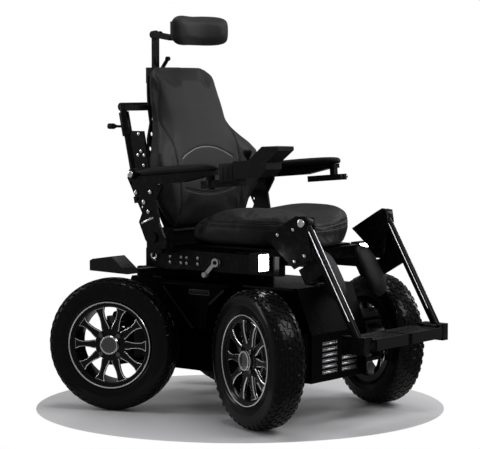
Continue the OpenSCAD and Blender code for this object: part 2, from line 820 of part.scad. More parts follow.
// Rear strut frame: two struts, their top brackets and a push bar
strut_y = 196;
strut_r = 11;
strut_top_x = back_x - 164;
strut_top_z = recline_z + 398;
strut_foot_x = arm_x - 105;
strut_foot_z = arm_z - 4;
plunger_z = recline_z + 331;
strut_slope = (strut_top_x - strut_foot_x) / (strut_top_z - strut_foot_z);
function strut_x(z) = strut_foot_x + strut_slope * (z - strut_foot_z);
plunger_x = strut_x(plunger_z);
plunger_r = 4;

module push_frame() {
    lean = atan2(strut_foot_x - strut_top_x, strut_top_z - strut_foot_z);
    run = norm([strut_foot_x - strut_top_x, strut_top_z - strut_foot_z]);
    bracket_h = 16;
    bracket_x = back_x - (strut_top_z - recline_z) * tan(back_lean);
    gusset_t = 8;
    gusset_low = strut_foot_z + 6;
    gusset_top = strut_foot_z + 130;
    gusset_reach = 180;
    color("black") difference() {
        union() {
            for (side = [LEFT, RIGHT]) on_side(side) {
                translate([strut_foot_x, strut_y, strut_foot_z]) rotate([0, -lean, 0]) {
                    cylinder(r = strut_r, h = run);
                    translate([0, 0, run * 0.55]) cylinder(r = strut_r + 5, h = run * 0.34);
                }
                at_back() box([-shell_t - bar - 60, strut_y - strut_r, upper_bar - bar / 2],
                    [-shell_t - bar, strut_y + strut_r, upper_bar + 34]);
                // Gusset plate from the strut to the shell
                xz_plate(
                    [[strut_x(gusset_low), gusset_low], [strut_x(gusset_low) + gusset_reach, gusset_low],
                     [strut_x(gusset_top) + gusset_reach, gusset_top], [strut_x(gusset_top), gusset_top]],
                    strut_y - gusset_t / 2, strut_y + gusset_t / 2
                );
                box([strut_top_x, strut_y - 6, strut_top_z - bracket_h], [bracket_x, strut_y + 6, strut_top_z]);
                box([bracket_x - 24, 110, strut_top_z - bracket_h], [bracket_x, strut_y, strut_top_z]);
            }
            translate([strut_top_x, 0, strut_top_z - 6]) rod_y(strut_r + 2, -strut_y - 8, strut_y + 8);
        }
        // The brackets end on the rear face of the shell
        at_back() box([-shell_t, -plate_y, 0], [200, plate_y, back_l + 100]);
        translate([0, -strut_y, plunger_z]) rod_x(plunger_r + run_fit, plunger_x - 60, plunger_x + 2);
    }
}

module plunger_knob() {
    stick = 52;
    color("black") translate([plunger_x, -strut_y, plunger_z]) {
        rod_x(plunger_r, -stick, -2);
        rod_x(9, -stick - 20, -stick);
        rod_x(6, -stick, -stick + 8);
    }
}

module headrest_stem() {
    slot_w = 8;
    color("dimgray") translate([stem_x, 0, 0]) difference() {
        union() {
            box([-stem_t / 2, -stem_w / 2, stem_z - clamp_h - 30], [stem_t / 2, stem_w / 2, stem_top - 14]);
            translate([0, 0, stem_top - 14]) rod_x(stem_w / 2, -stem_t / 2, stem_t / 2);
            translate([stem_t / 2 - cut, 0, stem_top - 14]) rod_y(10, -9, 9);
            translate([4, 0, stem_top - 14]) rod_y(link_pin_r, -21, 21);
        }
        box([-stem_t, -slot_w / 2, stem_z + 16], [stem_t, slot_w / 2, stem_top - 44]);
    }
}

link_pin_r = 5;
link_x = stem_x + 4;
link_z = stem_top - 14;
pad_pivot_x = stem_x + 104;
pad_pivot_z = head_z - 26;

module headrest_clamp_lever() {
    color("black") translate([stem_x - 8, 0, stem_z - 16]) {
        rod_y(clamp_pin_r, 20.5, 32);
        rod_y(9, 24 + face_gap, 34);
        rotate([0, 38, 0]) box([-5, 26, 0], [5, 33, 56]);
        rotate([0, 38, 0]) translate([0, 0, 56]) rod_y(7, 24 + face_gap, 35);
    }
}

// Link between the stem and the pad: two cheeks on the stem's pin, and a boss for the pad pivot
module headrest_link() {
    fall = atan2(link_z - pad_pivot_z, pad_pivot_x - link_x);
    run = norm([pad_pivot_x - link_x, link_z - pad_pivot_z]);
    cheek = 6;
    color("dimgray") translate([link_x, 0, link_z]) rotate([0, fall, 0]) difference() {
        union() {
            for (side = [LEFT, RIGHT]) on_side(side) {
                rod_y(12, 14.5, 14.5 + cheek);
                box([0, 14.5, -8], [run - 26, 14.5 + cheek, 8]);
            }
            box([run - 40, -14.5 - cheek, -8], [run - 26, 14.5 + cheek, 8]);
            box([run - 27, -8, -8], [run, 8, 8]);
            translate([run, 0, 0]) rod_y(12, -8, 8);
        }
        rod_y(link_pin_r + run_fit, -22, 22);
        translate([run, 0, 0]) rod_y(link_pin_r + run_fit, -9, 9);
    }
}

head_bow = 46;
head_rows = 22;
head_cols = 24;
head_back_x = pad_pivot_x + 26;

// How far the pad's back stands forward at a distance from its middle
function head_curve(y) = head_bow * pow(abs(y) / (head_w / 2), 2);

module headrest_plate() {
    reach = head_w / 2 - 26;
    steps = 8;
    plate_h = 54;
    front = head_back_x - face_gap;
    rear = front - 5;
    color("black") translate([0, 0, head_z]) {
        translate([0, 0, -plate_h / 2]) linear_extrude(height = plate_h) polygon(concat(
            [for (i = [-steps : steps]) let (y = reach * i / steps) [front + head_curve(y), y]],
            [for (i = [steps : -1 : -steps]) let (y = reach * i / steps) [rear + head_curve(y), y]]
        ));
        for (side = [LEFT, RIGHT]) on_side(side) difference() {
            box([pad_pivot_x - 9, 8 + face_gap, pad_pivot_z - head_z - 10],
                [head_back_x - 4, 15, pad_pivot_z - head_z + 10]);
            translate([pad_pivot_x, 0, pad_pivot_z - head_z]) rod_y(link_pin_r, 8, 16);
        }
        translate([pad_pivot_x, 0, pad_pivot_z - head_z]) rod_y(link_pin_r, -15, 15);
    }
}

module headrest_pad() {
    color("black") translate([0, 0, head_z]) skin([
        for (i = [0 : head_rows])
            let (t = -cos(180 * i / head_rows),
                 y = t * head_w / 2,
                 full = pow(max(0.02, 1 - pow(abs(t), 4)), 0.45))
            [for (j = [0 : head_cols - 1])
                let (a = -j * 360 / head_cols,
                     out = power_curve(cos(a), 0.8),
                     up = power_curve(sin(a), 0.62))
                [head_back_x + head_curve(y) + head_t * (0.5 + 0.5 * out) * full, y,
                 head_h / 2 * up * (0.4 + 0.6 * full)]]
    ]);
}

// Arm rests: everything is set along the sloping beam from its hinge
beam_l = 308;
beam_top = -8;
beam_low = -36;
beam_nose = beam_top - 14;
pad_x = 20;

module at_arm(side) {
    on_side(side) translate([arm_x, 0, arm_z]) rotate([0, -arm_slope, 0]) children();
}

swing_x = beam_l - 16;
swing_pin_r = 6;
swing_t = 22;

module armrest(side) {
    color("black") at_arm(side) {
        difference() {
            union() {
                rod_y(17, arm_in, arm_in + arm_w);
                xz_plate(
                    [[0, beam_top - 8], [42, beam_low], [beam_l * 0.62, beam_low], [beam_l - 26, beam_nose],
                     [beam_l, beam_nose], [beam_l, beam_top], [0, beam_top]],
                    arm_in + 3, arm_in + arm_w - 3
                );
                if (side == RIGHT)
                    translate([swing_x, arm_y, beam_low]) cylinder(r = 14, h = beam_top - beam_low);
            }
            rod_y(arm_pin_r + run_fit, arm_in - cut, arm_in + arm_w + cut);
        }
        if (side == RIGHT) {
            translate([swing_x, arm_y, beam_low - swing_t - 1]) cylinder(r = swing_pin_r, h = swing_t + 2);
            translate([swing_x, arm_y, beam_low - swing_t - face_gap - 5]) cylinder(r = 11, h = 5);
        }
    }
}

// A slim pad: a flat underside, drawn-in sides and a crowned top
module arm_pad(side) {
    rows = 18;
    cols = 20;
    color("black") at_arm(side) translate([pad_x, arm_y, beam_top]) skin([
        for (i = [0 : rows])
            let (t = -cos(180 * i / rows),
                 full = pow(max(0.01, 1 - pow(abs(t), 10)), 0.5))
            [for (j = [0 : cols - 1])
                let (a = j * 360 / cols,
                     up = power_curve(sin(a), 0.7),
                     waist = 1 - 0.05 * bump(up, 0.4))
                [arm_pad_l * (0.5 + 0.5 * t), arm_pad_w / 2 * power_curve(cos(a), 0.6) * full * waist,
                 arm_pad_t * (0.5 + 0.5 * up) * (0.4 + 0.6 * full)]]
    ]);
}

// Joystick pod at the front of the right arm rest
pod_x = beam_l + 99;
pod_l = 120;
pod_w = 74;
pod_low = -37;
pod_top = 13;
hood_l = 48;
hood_h = 31;
stick_x = pod_x + 28;
stick_z = pod_top - 11;
well_r = 20;
ring_r = 15;
ring_in = 10.5;
trunnion_r = 2.5;

module joystick_arm() {
    tail = 32;
    color("dimgray") at_arm(RIGHT) difference() {
        union() {
            translate([swing_x, arm_y, beam_low - swing_t]) cylinder(r = 15, h = swing_t - face_gap);
            box([swing_x - tail, arm_y - 11, beam_low - swing_t],
                [pod_x - 8, arm_y + 11, beam_low - face_gap]);
            box([pod_x - 14, arm_y - 22, beam_low - swing_t], [pod_x, arm_y + 22, pod_top - 6]);
        }
        translate([swing_x, arm_y, beam_low - swing_t - cut])
            cylinder(r = swing_pin_r + run_fit, h = swing_t + 2 * cut);
    }
}

button_r = 7;
button_x = pod_x + 10;
button_y = -26;

module joystick_housing() {
    nose = 22;
    color("black") at_arm(RIGHT) translate([0, arm_y, 0]) difference() {
        xz_plate(
            [[pod_x, pod_low + 6], [pod_x + 8, pod_low], [pod_x + pod_l - nose, pod_low],
             [pod_x + pod_l, pod_low + 20], [pod_x + pod_l, pod_top - 11],
             [pod_x + pod_l + hood_l, pod_top + hood_h - 11], [pod_x + pod_l + hood_l, pod_top + hood_h],
             [pod_x + pod_l - 10, pod_top + hood_h + 5], [stick_x + well_r + 10, pod_top], [pod_x, pod_top]],
            -pod_w / 2, pod_w / 2
        );
        translate([stick_x, 0, stick_z - 14]) cylinder(r = well_r, h = 40);
        translate([stick_x, 0, stick_z]) rod_y(trunnion_r + run_fit, -well_r - 5, well_r + 5);
        translate([button_x, button_y, pod_top - 8]) cylinder(r = button_r + run_fit, h = 10);
    }
}

module joystick_gimbal() {
    ring_h = 8;
    color("silver") at_arm(RIGHT) translate([stick_x, arm_y, stick_z]) difference() {
        union() {
            translate([0, 0, -ring_h / 2]) cylinder(r = ring_r, h = ring_h);
            rod_y(trunnion_r, -well_r - 4, well_r + 4);
        }
        translate([0, 0, -ring_h]) cylinder(r = ring_in, h = 2 * ring_h);
        rod_x(trunnion_r + run_fit, -ring_r - cut, ring_r + cut);
    }
}

module joystick_lever() {
    ball_r = 8;
    stem = 20;
    knob_r = 14;
    color("black") at_arm(RIGHT) translate([stick_x, arm_y, stick_z]) {
        sphere(r = ball_r);
        rod_x(trunnion_r, -ring_r, ring_r);
        cylinder(r = 5, h = stem + cut);
        translate([0, 0, stem]) cylinder(r1 = 8, r2 = knob_r, h = 14);
        translate([0, 0, stem + 14]) cylinder(r = knob_r, h = 6);
        translate([0, 0, stem + 20]) cylinder(r1 = knob_r, r2 = knob_r - 5, h = 4);
    }
}

module power_button() {
    color("silver") at_arm(RIGHT) translate([button_x, arm_y + button_y, pod_top - 5])
        cylinder(r = button_r, h = 8);
}

// Switch box under the front of the left arm rest
box_x = beam_l - 106;
box_end = beam_l + 24;
box_z = beam_low - 15;
box_h = 19;
toggle_r = 2;

module switch_box() {
    wide = 17;
    color("black") at_arm(LEFT) translate([0, arm_y, box_z]) difference() {
        union() {
            box([box_x, -wide, -box_h / 2], [box_end, wide, box_h / 2]);
            box([beam_l - 22, -9, box_h / 2 - cut], [beam_l - 4, 9, beam_nose - box_z]);
        }
        box([box_end - 12, -5, -8], [box_end + cut, 5, 8]);
        translate([box_end - 6, 0, 0]) rod_y(toggle_r + run_fit, -9, 9);
    }
}

module switch_toggle() {
    color("silver") at_arm(LEFT) translate([box_end - 6, arm_y, box_z]) {
        rod_y(toggle_r, -8, 8);
        rod_x(3, 0, 19);
        translate([19, 0, 0]) sphere(r = 4);
    }
}

// Leg rests
calf_w = 86;
calf_l = 172;
calf_t = 36;
calf_y = 60;
calf_back = -80;
calf_mid = -146;
calf_arm_mid = -132;
calf_arm = 24;
foot_x = knee_x + hanger_l * sin(hanger_lean);
foot_z = knee_z - hanger_l * cos(hanger_lean);
foot_tip = front_x + foot_reach;
hinge_y = hanger_y - hanger_r - 9;
hinge_z = foot_z - 4;
hinge_r = 5;
lug_w = 12;
lug_rear = foot_x - 38;
lug_front = foot_x + 20;

module at_hanger(side) {
    on_side(side) translate([knee_x, 0, knee_z]) rotate([0, -hanger_lean, 0]) children();
}

module hanger(side) {
    knee_t = 4;
    outer = hanger_y + hanger_r;
    color("dimgray") difference() {
        union() {
            at_hanger(side) {
                rod_y(knee_boss_r, hanger_y - hanger_r, outer);
                translate([0, hanger_y, -hanger_l]) cylinder(r = hanger_r, h = hanger_l);
                translate([0, 0, calf_arm_mid]) {
                    box([calf_back - 10, hanger_y - 10, -calf_arm], [0, hanger_y, calf_arm]);
                    box([calf_back - 10, calf_y + 16, -calf_arm], [calf_back, hanger_y - cut, calf_arm]);
                }
            }
            on_side(side) {
                translate([knee_x, 0, knee_z]) xz_plate(
                    [[-134, -47], [-47, 6], [-22, 20], [14, 18], [35, -101], [-28, -135]],
                    outer - cut, outer + knee_t
                );
                box([foot_x - 46, hanger_y - 12, foot_z - 44], [foot_x + 34, outer + cut, foot_z + 6]);
                for (x = [lug_rear, lug_front])
                    box([x, hinge_y - 7, hinge_z - 9], [x + lug_w, hanger_y - 11, hinge_z + 9]);
                translate([0, hinge_y, hinge_z]) rod_x(hinge_r, lug_rear + cut, lug_front + lug_w - cut);
            }
        }
        on_side(side) translate([knee_x, 0, knee_z])
            rod_y(knee_pin_r + run_fit, hanger_y - hanger_r - cut, outer + knee_t + cut);
    }
}

module calf_pad(side) {
    rows = 16;
    cols = 22;
    color("black") at_hanger(side) translate([calf_back, calf_y + calf_w / 2, calf_mid]) skin([
        for (i = [0 : rows])
            let (t = -cos(180 * i / rows),
                 full = pow(max(0.01, 1 - pow(abs(t), 3.4)), 0.5))
            [for (j = [0 : cols - 1])
                let (a = j * 360 / cols,
                     out = power_curve(sin(a), 0.75))
                [calf_t * (0.5 + 0.5 * out) * (0.35 + 0.65 * full),
                 -calf_w / 2 * power_curve(cos(a), 0.7) * full, t * calf_l / 2]]
    ]);
}

module footplate(side) {
    outer = hinge_y - 12;
    inner = outer - foot_w + 26;
    tread_t = 8;
    lip = 32;
    color("black") on_side(side) difference() {
        union() {
            box([foot_tip - foot_l, inner, hinge_z - tread_t], [foot_tip, outer, hinge_z]);
            box([foot_tip - 8, inner, hinge_z + 2 - lip], [foot_tip, outer, hinge_z + 2]);
            box([lug_rear + lug_w + 2, outer - cut, hinge_z - tread_t], [lug_front - 2, hinge_y, hinge_z]);
            translate([0, hinge_y, hinge_z]) rod_x(9, lug_rear + lug_w + face_gap, lug_front - face_gap);
        }
        translate([0, hinge_y, hinge_z]) rod_x(hinge_r + run_fit, lug_rear, lug_front + lug_w);
        for (i = [0 : 5]) translate([foot_tip - foot_l + 20, inner + 16 + i * 23, hinge_z - tread_t - cut])
            cube([foot_l - 44, 8, tread_t + 2 * cut]);
    }
}

chassis_frame();
steering_forks();
steering_motors();
batteries();
controller();
side_panel(LEFT);  // side_panel_left
side_panel(RIGHT);  // side_panel_right
front_cover();
rear_cover();
tail_arms();
tail_lenses();
tilt_actuator();
tilt_rod();
release_lever();
for (corner = CORNERS) {
    knuckle(corner);
    hub(corner);
    rim(corner);
    tyre(corner);
}
seat_frame();
seat_cushion();
headlamps();
back_frame();
back_shell();
back_cushion();
push_frame();
plunger_knob();
headrest_stem();
headrest_clamp_lever();
headrest_link();
headrest_plate();
headrest_pad();
armrest(LEFT);  // armrest_left
armrest(RIGHT);  // armrest_right
arm_pad(LEFT);  // arm_pad_left
arm_pad(RIGHT);  // arm_pad_right
joystick_arm();
joystick_housing();
joystick_gimbal();
joystick_lever();
power_button();
switch_box();
switch_toggle();
hanger(LEFT);  // hanger_left
hanger(RIGHT);  // hanger_right
calf_pad(LEFT);  // calf_pad_left
calf_pad(RIGHT);  // calf_pad_right
footplate(LEFT);  // footplate_left
footplate(RIGHT);  // footplate_right
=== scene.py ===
"""Looks of the all terrain wheelchair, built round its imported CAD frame.

Lengths are in metres. Turns, tilts and skews are in radians, and the other angles in degrees.
"""

import logging
import math
from dataclasses import dataclass
from enum import Enum
from typing import Any, Iterable, Optional, Sequence

import bmesh
import bpy
from mathutils import Matrix, Vector
from mathutils.bvhtree import BVHTree


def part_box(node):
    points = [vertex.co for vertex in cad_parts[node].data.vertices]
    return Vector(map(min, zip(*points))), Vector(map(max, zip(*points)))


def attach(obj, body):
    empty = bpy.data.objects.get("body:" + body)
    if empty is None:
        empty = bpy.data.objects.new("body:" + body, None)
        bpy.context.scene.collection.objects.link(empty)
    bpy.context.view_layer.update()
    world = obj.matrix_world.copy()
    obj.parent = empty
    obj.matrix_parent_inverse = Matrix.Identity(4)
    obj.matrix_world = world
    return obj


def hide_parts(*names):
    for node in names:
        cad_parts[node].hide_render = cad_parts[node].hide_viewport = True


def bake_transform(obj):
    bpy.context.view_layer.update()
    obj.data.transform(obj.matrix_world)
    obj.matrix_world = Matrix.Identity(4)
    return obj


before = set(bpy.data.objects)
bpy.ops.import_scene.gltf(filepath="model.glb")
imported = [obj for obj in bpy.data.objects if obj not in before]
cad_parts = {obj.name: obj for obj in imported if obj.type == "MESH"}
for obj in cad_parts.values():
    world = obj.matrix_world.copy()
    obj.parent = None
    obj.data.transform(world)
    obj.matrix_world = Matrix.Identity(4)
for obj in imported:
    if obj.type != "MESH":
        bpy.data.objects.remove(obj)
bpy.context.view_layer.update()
LOG = logging.getLogger("wheelchair")
LEFT = 1.0
RIGHT = -1.0
SIDES = (LEFT, RIGHT)
SIDE_NAMES = {"left": LEFT, "right": RIGHT}
BOTH_WAYS = (1.0, -1.0)
CORNERS = ("front_left", "front_right", "rear_left", "rear_right")
MERGE = 0.00002
WHITE = (1.0, 1.0, 1.0, 1.0)
DUST = (0.25, 0.24, 0.22, 1.0)
Point = Sequence[float]
Pair = tuple[float, float]
Triple = tuple[float, float, float]
Pairs = tuple[Pair, ...]


class Value:
    """A shader socket that takes part in Python expressions."""

    def __init__(self, painter: "Painter", socket: bpy.types.NodeSocket) -> None:
        """Keeps the socket and the painter whose tree it is in."""
        self.painter = painter
        self.socket = socket

    def _math(self, operation: str, first: Any, second: Any = 0.0) -> "Value":
        """Adds one Math node.

        Args:
            operation: The node's operation.
            first: A value or number.
            second: A value or number.

        Returns:
            The node's result.
        """
        return self.painter.node("ShaderNodeMath", {"operation": operation}, {0: first, 1: second})

    def __add__(self, other: Any) -> "Value":
        """Sum."""
        return self._math("ADD", self, other)

    def __radd__(self, other: Any) -> "Value":
        """Sum, with the number first."""
        return self._math("ADD", other, self)

    def __sub__(self, other: Any) -> "Value":
        """Difference."""
        return self._math("SUBTRACT", self, other)

    def __rsub__(self, other: Any) -> "Value":
        """Difference, with the number first."""
        return self._math("SUBTRACT", other, self)

    def __mul__(self, other: Any) -> "Value":
        """Product."""
        return self._math("MULTIPLY", self, other)

    def __rmul__(self, other: Any) -> "Value":
        """Product, with the number first."""
        return self._math("MULTIPLY", other, self)

    def clipped(self, low: float, high: float) -> "Value":
        """The value from low to high, stretched to run from 0 to 1 and clamped.

        Args:
            low: The value that becomes 0.
            high: The value that becomes 1.

        Returns:
            The clamped result.
        """
        return self.painter.node(
            "ShaderNodeMapRange", {"clamp": True}, {"Value": self, "From Min": low, "From Max": high}
        )


class Painter:
    """Builds one node material."""

    def __init__(self, name: str) -> None:
        """Starts a material with a Principled shader."""
        self.material = bpy.data.materials.new(name)
        self.material.use_nodes = True
        self.tree = self.material.node_tree
        self.shader = next(n for n in self.tree.nodes if n.type == "BSDF_PRINCIPLED")

    def node(
        self,
        kind: str,
        settings: Optional[dict[str, Any]] = None,
        values: Optional[dict[Any, Any]] = None,
        output: Any = 0,
    ) -> Value:
        """Adds a node.

        Args:
            kind: The node's type.
            settings: Its properties, set first.
            values: Numbers, colours or values for its sockets.
            output: The output that is wanted.

        Returns:
            That output.
        """
        made = self.tree.nodes.new(kind)
        for name, setting in (settings or {}).items():
            setattr(made, name, setting)
        for key, value in (values or {}).items():
            self.feed(made.inputs[key], value)
        return Value(self, made.outputs[output])

    def feed(self, socket: bpy.types.NodeSocket, value: Any) -> None:
        """Links a value to a socket, or sets a constant on it."""
        if isinstance(value, Value):
            self.tree.links.new(value.socket, socket)
        else:
            socket.default_value = value

    def set(self, **values: Any) -> None:
        """Sets or links the shader's sockets, whose names use _ for a space."""
        for name, value in values.items():
            self.feed(self.shader.inputs[name.replace("_", " ")], value)

    def coordinates(self, stretch: Point = (1.0, 1.0, 1.0)) -> Value:
        """Object coordinates, with a stretch along each axis."""
        place = self.node("ShaderNodeTexCoord", output="Object")
        return self.node("ShaderNodeMapping", values={"Vector": place, "Scale": tuple(stretch)})

    def noise(self, scale: float, detail: float = 2.0, where: Optional[Value] = None) -> Value:
        """Cloudy noise with that many lumps to a metre."""
        where = where or self.coordinates()
        return self.node("ShaderNodeTexNoise", values={"Vector": where, "Scale": scale, "Detail": detail})

    def mix(self, share: Any, first: Any, second: Any) -> Value:
        """A colour between two colours."""
        return self.node(
            "ShaderNodeMix", {"data_type": "RGBA"}, {"Factor": share, 6: first, 7: second}, output=2
        )

    def bump(self, height: Value, depth: float) -> None:
        """Feeds a height from 0 to 1, which stands for a depth in metres, to the shader's normal."""
        values = {"Height": height, "Distance": depth, "Strength": 1.0}
        self.set(Normal=self.node("ShaderNodeBump", values=values))


class Grain(Enum):
    """The small relief that a surface shows close to, with its lumps to a metre.

    HIDE is pebbled leatherette, PEEL sprayed paint, MOULDED plastic, RUBBER cured rubber, BRUSHED
    brushed or turned metal, and CAST sand-cast metal.
    """

    HIDE = 520.0
    PEEL = 900.0
    MOULDED = 1800.0
    RUBBER = 700.0
    BRUSHED = 60.0
    CAST = 420.0


@dataclass(frozen=True)
class Finish:
    """A surface finish: colours, gloss and grain."""

    name: str
    grain: Grain
    color: Triple
    worn: Triple
    roughness: float
    spread: float
    metallic: float = 0.0
    coat: float = 0.0
    relief: float = 0.00006
    dust: float = 0.0
    shine: float = 0.5
    blotches: float = 9.0
    scuffs: float = 55.0
    scuff_from: float = 0.52
    scuff_to: float = 0.78
    scuff_share: float = 0.4
    coat_roughness: float = 0.12

    def _height(self, painter: Painter) -> Value:
        """The grain's height map.

        Args:
            painter: The painter of the material.

        Returns:
            The height, from about 0 to 1.
        """
        scale = self.grain.value
        if self.grain is Grain.HIDE:
            cells = painter.node(
                "ShaderNodeTexVoronoi",
                {"feature": "DISTANCE_TO_EDGE"},
                {"Vector": painter.coordinates(), "Scale": scale},
            )
            creases = painter.noise(130.0, 3.0)
            return cells.clipped(0.0, 0.22) * 0.7 + creases * 0.5
        if self.grain is Grain.PEEL:
            return painter.noise(scale, 1.0)
        if self.grain is Grain.MOULDED:
            waves = painter.noise(400.0)
            return painter.noise(scale, 2.0) * 0.7 + waves * 0.3
        if self.grain is Grain.RUBBER:
            lumps = painter.noise(90.0, 3.0)
            return painter.noise(scale, 4.0) * 0.6 + lumps * 0.4
        if self.grain is Grain.BRUSHED:
            drawn = painter.coordinates((1.0, 1.0, 45.0))
            return painter.noise(scale, 3.0, drawn)
        return painter.noise(scale, 5.0)

    def make(self) -> bpy.types.Material:
        """Builds the material.

        Returns:
            The new material.
        """
        painter = Painter(self.name)
        blotch = painter.noise(self.blotches, 4.0)
        scuff = painter.noise(self.scuffs, 6.0).clipped(self.scuff_from, self.scuff_to)
        tone = painter.mix(scuff * blotch, (*self.color, 1.0), (*self.worn, 1.0))
        if self.dust:
            facing = painter.node("ShaderNodeNewGeometry", output="Normal")
            upward = painter.node("ShaderNodeSeparateXYZ", values={"Vector": facing}, output="Z")
            settled = upward.clipped(0.2, 1.0) * painter.noise(30.0, 5.0).clipped(0.35, 0.8) * self.dust
            tone = painter.mix(settled, tone, DUST)
        uneven = self.roughness + (blotch - 0.5) * self.spread
        painter.set(
            Base_Color=tone,
            Roughness=uneven + scuff * self.spread * self.scuff_share,
            Metallic=self.metallic,
            Specular_IOR_Level=self.shine,
            Coat_Weight=self.coat,
            Coat_Roughness=self.coat_roughness,
        )
        painter.bump(self._height(painter), self.relief)
        return painter.material


@dataclass(frozen=True)
class Glow:
    """A lit lens."""

    name: str
    color: Triple
    light: Triple
    strength: float
    cells: float = 160.0
    roughness: float = 0.15

    def make(self) -> bpy.types.Material:
        """Builds the material: a bright lens with a faint cell pattern.

        Returns:
            The new material.
        """
        painter = Painter(self.name)
        cells = painter.node(
            "ShaderNodeTexVoronoi", values={"Vector": painter.coordinates(), "Scale": self.cells}
        ).clipped(0.0, 0.7)
        painter.set(
            Base_Color=painter.mix(cells, (*self.color, 1.0), WHITE),
            Roughness=self.roughness,
            Emission_Color=painter.mix(cells, (*self.light, 1.0), WHITE),
            Emission_Strength=self.strength,
        )
        return painter.material


@dataclass(frozen=True)
class Lens:
    """An unlit coloured lens with moulded ribs."""

    name: str
    color: Triple
    deep: Triple
    ribs: float
    relief: float = 0.0006

    def make(self) -> bpy.types.Material:
        """Builds the material.

        Returns:
            The new material.
        """
        painter = Painter(self.name)
        wave = painter.node(
            "ShaderNodeTexWave",
            {"bands_direction": "Y", "wave_profile": "SIN"},
            {"Vector": painter.coordinates(), "Scale": self.ribs},
        )
        painter.set(
            Base_Color=painter.mix(wave, (*self.deep, 1.0), (*self.color, 1.0)),
            Roughness=0.16 + painter.noise(40.0) * 0.08,
            Coat_Weight=0.6,
            Coat_Roughness=0.05,
        )
        painter.bump(wave, self.relief)
        return painter.material


class Shape:
    """A mesh that is modelled step by step with bmesh operators."""

    SHARP_TURN = 0.35
    SPIN_MERGE = 0.00001
    BOLT_SIDES = 20
    BOLT_EASE = 0.25
    SOCKET_RIM = 0.38
    SOCKET_WALL = 0.04
    SOCKET_DEPTH = 0.55
    OFF_AXIS = 50.0

    def __init__(self) -> None:
        """Starts with no geometry."""
        self.bm = bmesh.new()

    @staticmethod
    def _faces(verts: Iterable[bmesh.types.BMVert]) -> list[bmesh.types.BMFace]:
        """The faces round some vertices."""
        return list({face for vert in verts for face in vert.link_faces})

    @staticmethod
    def _paint(faces: Iterable[bmesh.types.BMFace], material: int) -> None:
        """Gives faces a material slot."""
        for face in faces:
            face.material_index = material

    def _bevel(
        self, edges: Iterable[bmesh.types.BMEdge], width: float, steps: int
    ) -> list[bmesh.types.BMFace]:
        """Bevels edges.

        Args:
            edges: The edges.
            width: The bevel's width.
            steps: Its segments.

        Returns:
            The bevel's faces.
        """
        return bmesh.ops.bevel(
            self.bm,
            geom=list(edges),
            offset=width,
            segments=steps,
            profile=0.5,
            affect="EDGES",
            material=-1,
            clamp_overlap=True,
        )["faces"]

    def _round(self, verts: Iterable[bmesh.types.BMVert], width: float, steps: int, material: int) -> None:
        """Bevels the sharp edges round some vertices.

        Args:
            verts: The vertices of the form.
            width: The bevel's width.
            steps: Its segments.
            material: The material of the bevel's faces.
        """
        edges = {edge for vert in verts for edge in vert.link_edges}
        sharp = [e for e in edges if len(e.link_faces) == 2 and e.calc_face_angle(0.0) > self.SHARP_TURN]
        self._paint(self._bevel(sharp, width, steps), material)

    def box(
        self,
        low: Point,
        high: Point,
        bevel: float = 0.0,
        steps: int = 2,
        material: int = 0,
        place: Optional[Matrix] = None,
    ) -> None:
        """Adds a box with rounded edges.

        Args:
            low: Its lowest corner.
            high: Its highest corner.
            bevel: Width of the rounding.
            steps: Segments of the rounding.
            material: Its material slot.
            place: Where its own axes are set.
        """
        low, high = Vector(low), Vector(high)
        fit = Matrix.Translation((low + high) / 2) @ Matrix.Diagonal((*(high - low), 1.0))
        made = bmesh.ops.create_cube(self.bm, size=1.0, matrix=(place or Matrix()) @ fit)
        self._paint(self._faces(made["verts"]), material)
        if bevel:
            self._round(made["verts"], bevel, steps, material)

    def slab(
        self,
        outline: Sequence[Point],
        along: Point,
        bevel: float = 0.0,
        steps: int = 2,
        material: int = 0,
        edge: Optional[int] = None,
    ) -> None:
        """Adds a flat outline drawn out along a direction.

        Args:
            outline: Corners of one face.
            along: The direction and thickness.
            bevel: Width of the rounding.
            steps: Segments of the rounding.
            material: Its material slot.
            edge: The material slot of the rounded edges.
        """
        verts = [bmesh.ops.create_vert(self.bm, co=Vector(p))["vert"][0] for p in outline]
        face = bmesh.ops.contextual_create(self.bm, geom=verts)["faces"]
        made = bmesh.ops.extrude_face_region(self.bm, geom=face, use_keep_orig=True)
        top = [g for g in made["geom"] if isinstance(g, bmesh.types.BMVert)]
        bmesh.ops.translate(self.bm, vec=Vector(along), verts=top)
        faces = self._faces(verts + top)
        bmesh.ops.recalc_face_normals(self.bm, faces=faces)
        self._paint(faces, material)
        if bevel:
            self._round(verts + top, bevel, steps, material if edge is None else edge)

    def lathe(
        self,
        profile: Sequence[Pair],
        place: Matrix,
        steps: int = 48,
        material: int = 0,
        closed: bool = False,
    ) -> None:
        """Spins a profile about the Y axis of a place.

        Args:
            profile: Radius and distance along the axis of each corner.
            place: Where the axis is set.
            steps: Segments of the full turn.
            material: Its material slot.
            closed: Whether the last corner joins the first.
        """
        verts = [bmesh.ops.create_vert(self.bm, co=Vector((0.0, y, r)))["vert"][0] for r, y in profile]
        pairs = list(zip(verts, verts[1:]))
        if closed:
            pairs.append((verts[-1], verts[0]))
        edges = [bmesh.ops.contextual_create(self.bm, geom=list(pair))["edges"][0] for pair in pairs]
        before = set(self.bm.faces)
        bmesh.ops.spin(
            self.bm,
            geom=verts + edges,
            cent=(0.0, 0.0, 0.0),
            axis=(0.0, 1.0, 0.0),
            dvec=(0.0, 0.0, 0.0),
            angle=math.tau,
            steps=steps,
            use_merge=True,
            use_duplicate=False,
        )
        faces = [face for face in self.bm.faces if face not in before]
        spun = list({vert for face in faces for vert in face.verts})
        bmesh.ops.remove_doubles(self.bm, verts=spun, dist=self.SPIN_MERGE)
        faces = [face for face in self.bm.faces if face not in before]
        bmesh.ops.recalc_face_normals(self.bm, faces=faces)
        self._paint(faces, material)
        bmesh.ops.transform(self.bm, matrix=place, verts=list({v for f in faces for v in f.verts}))

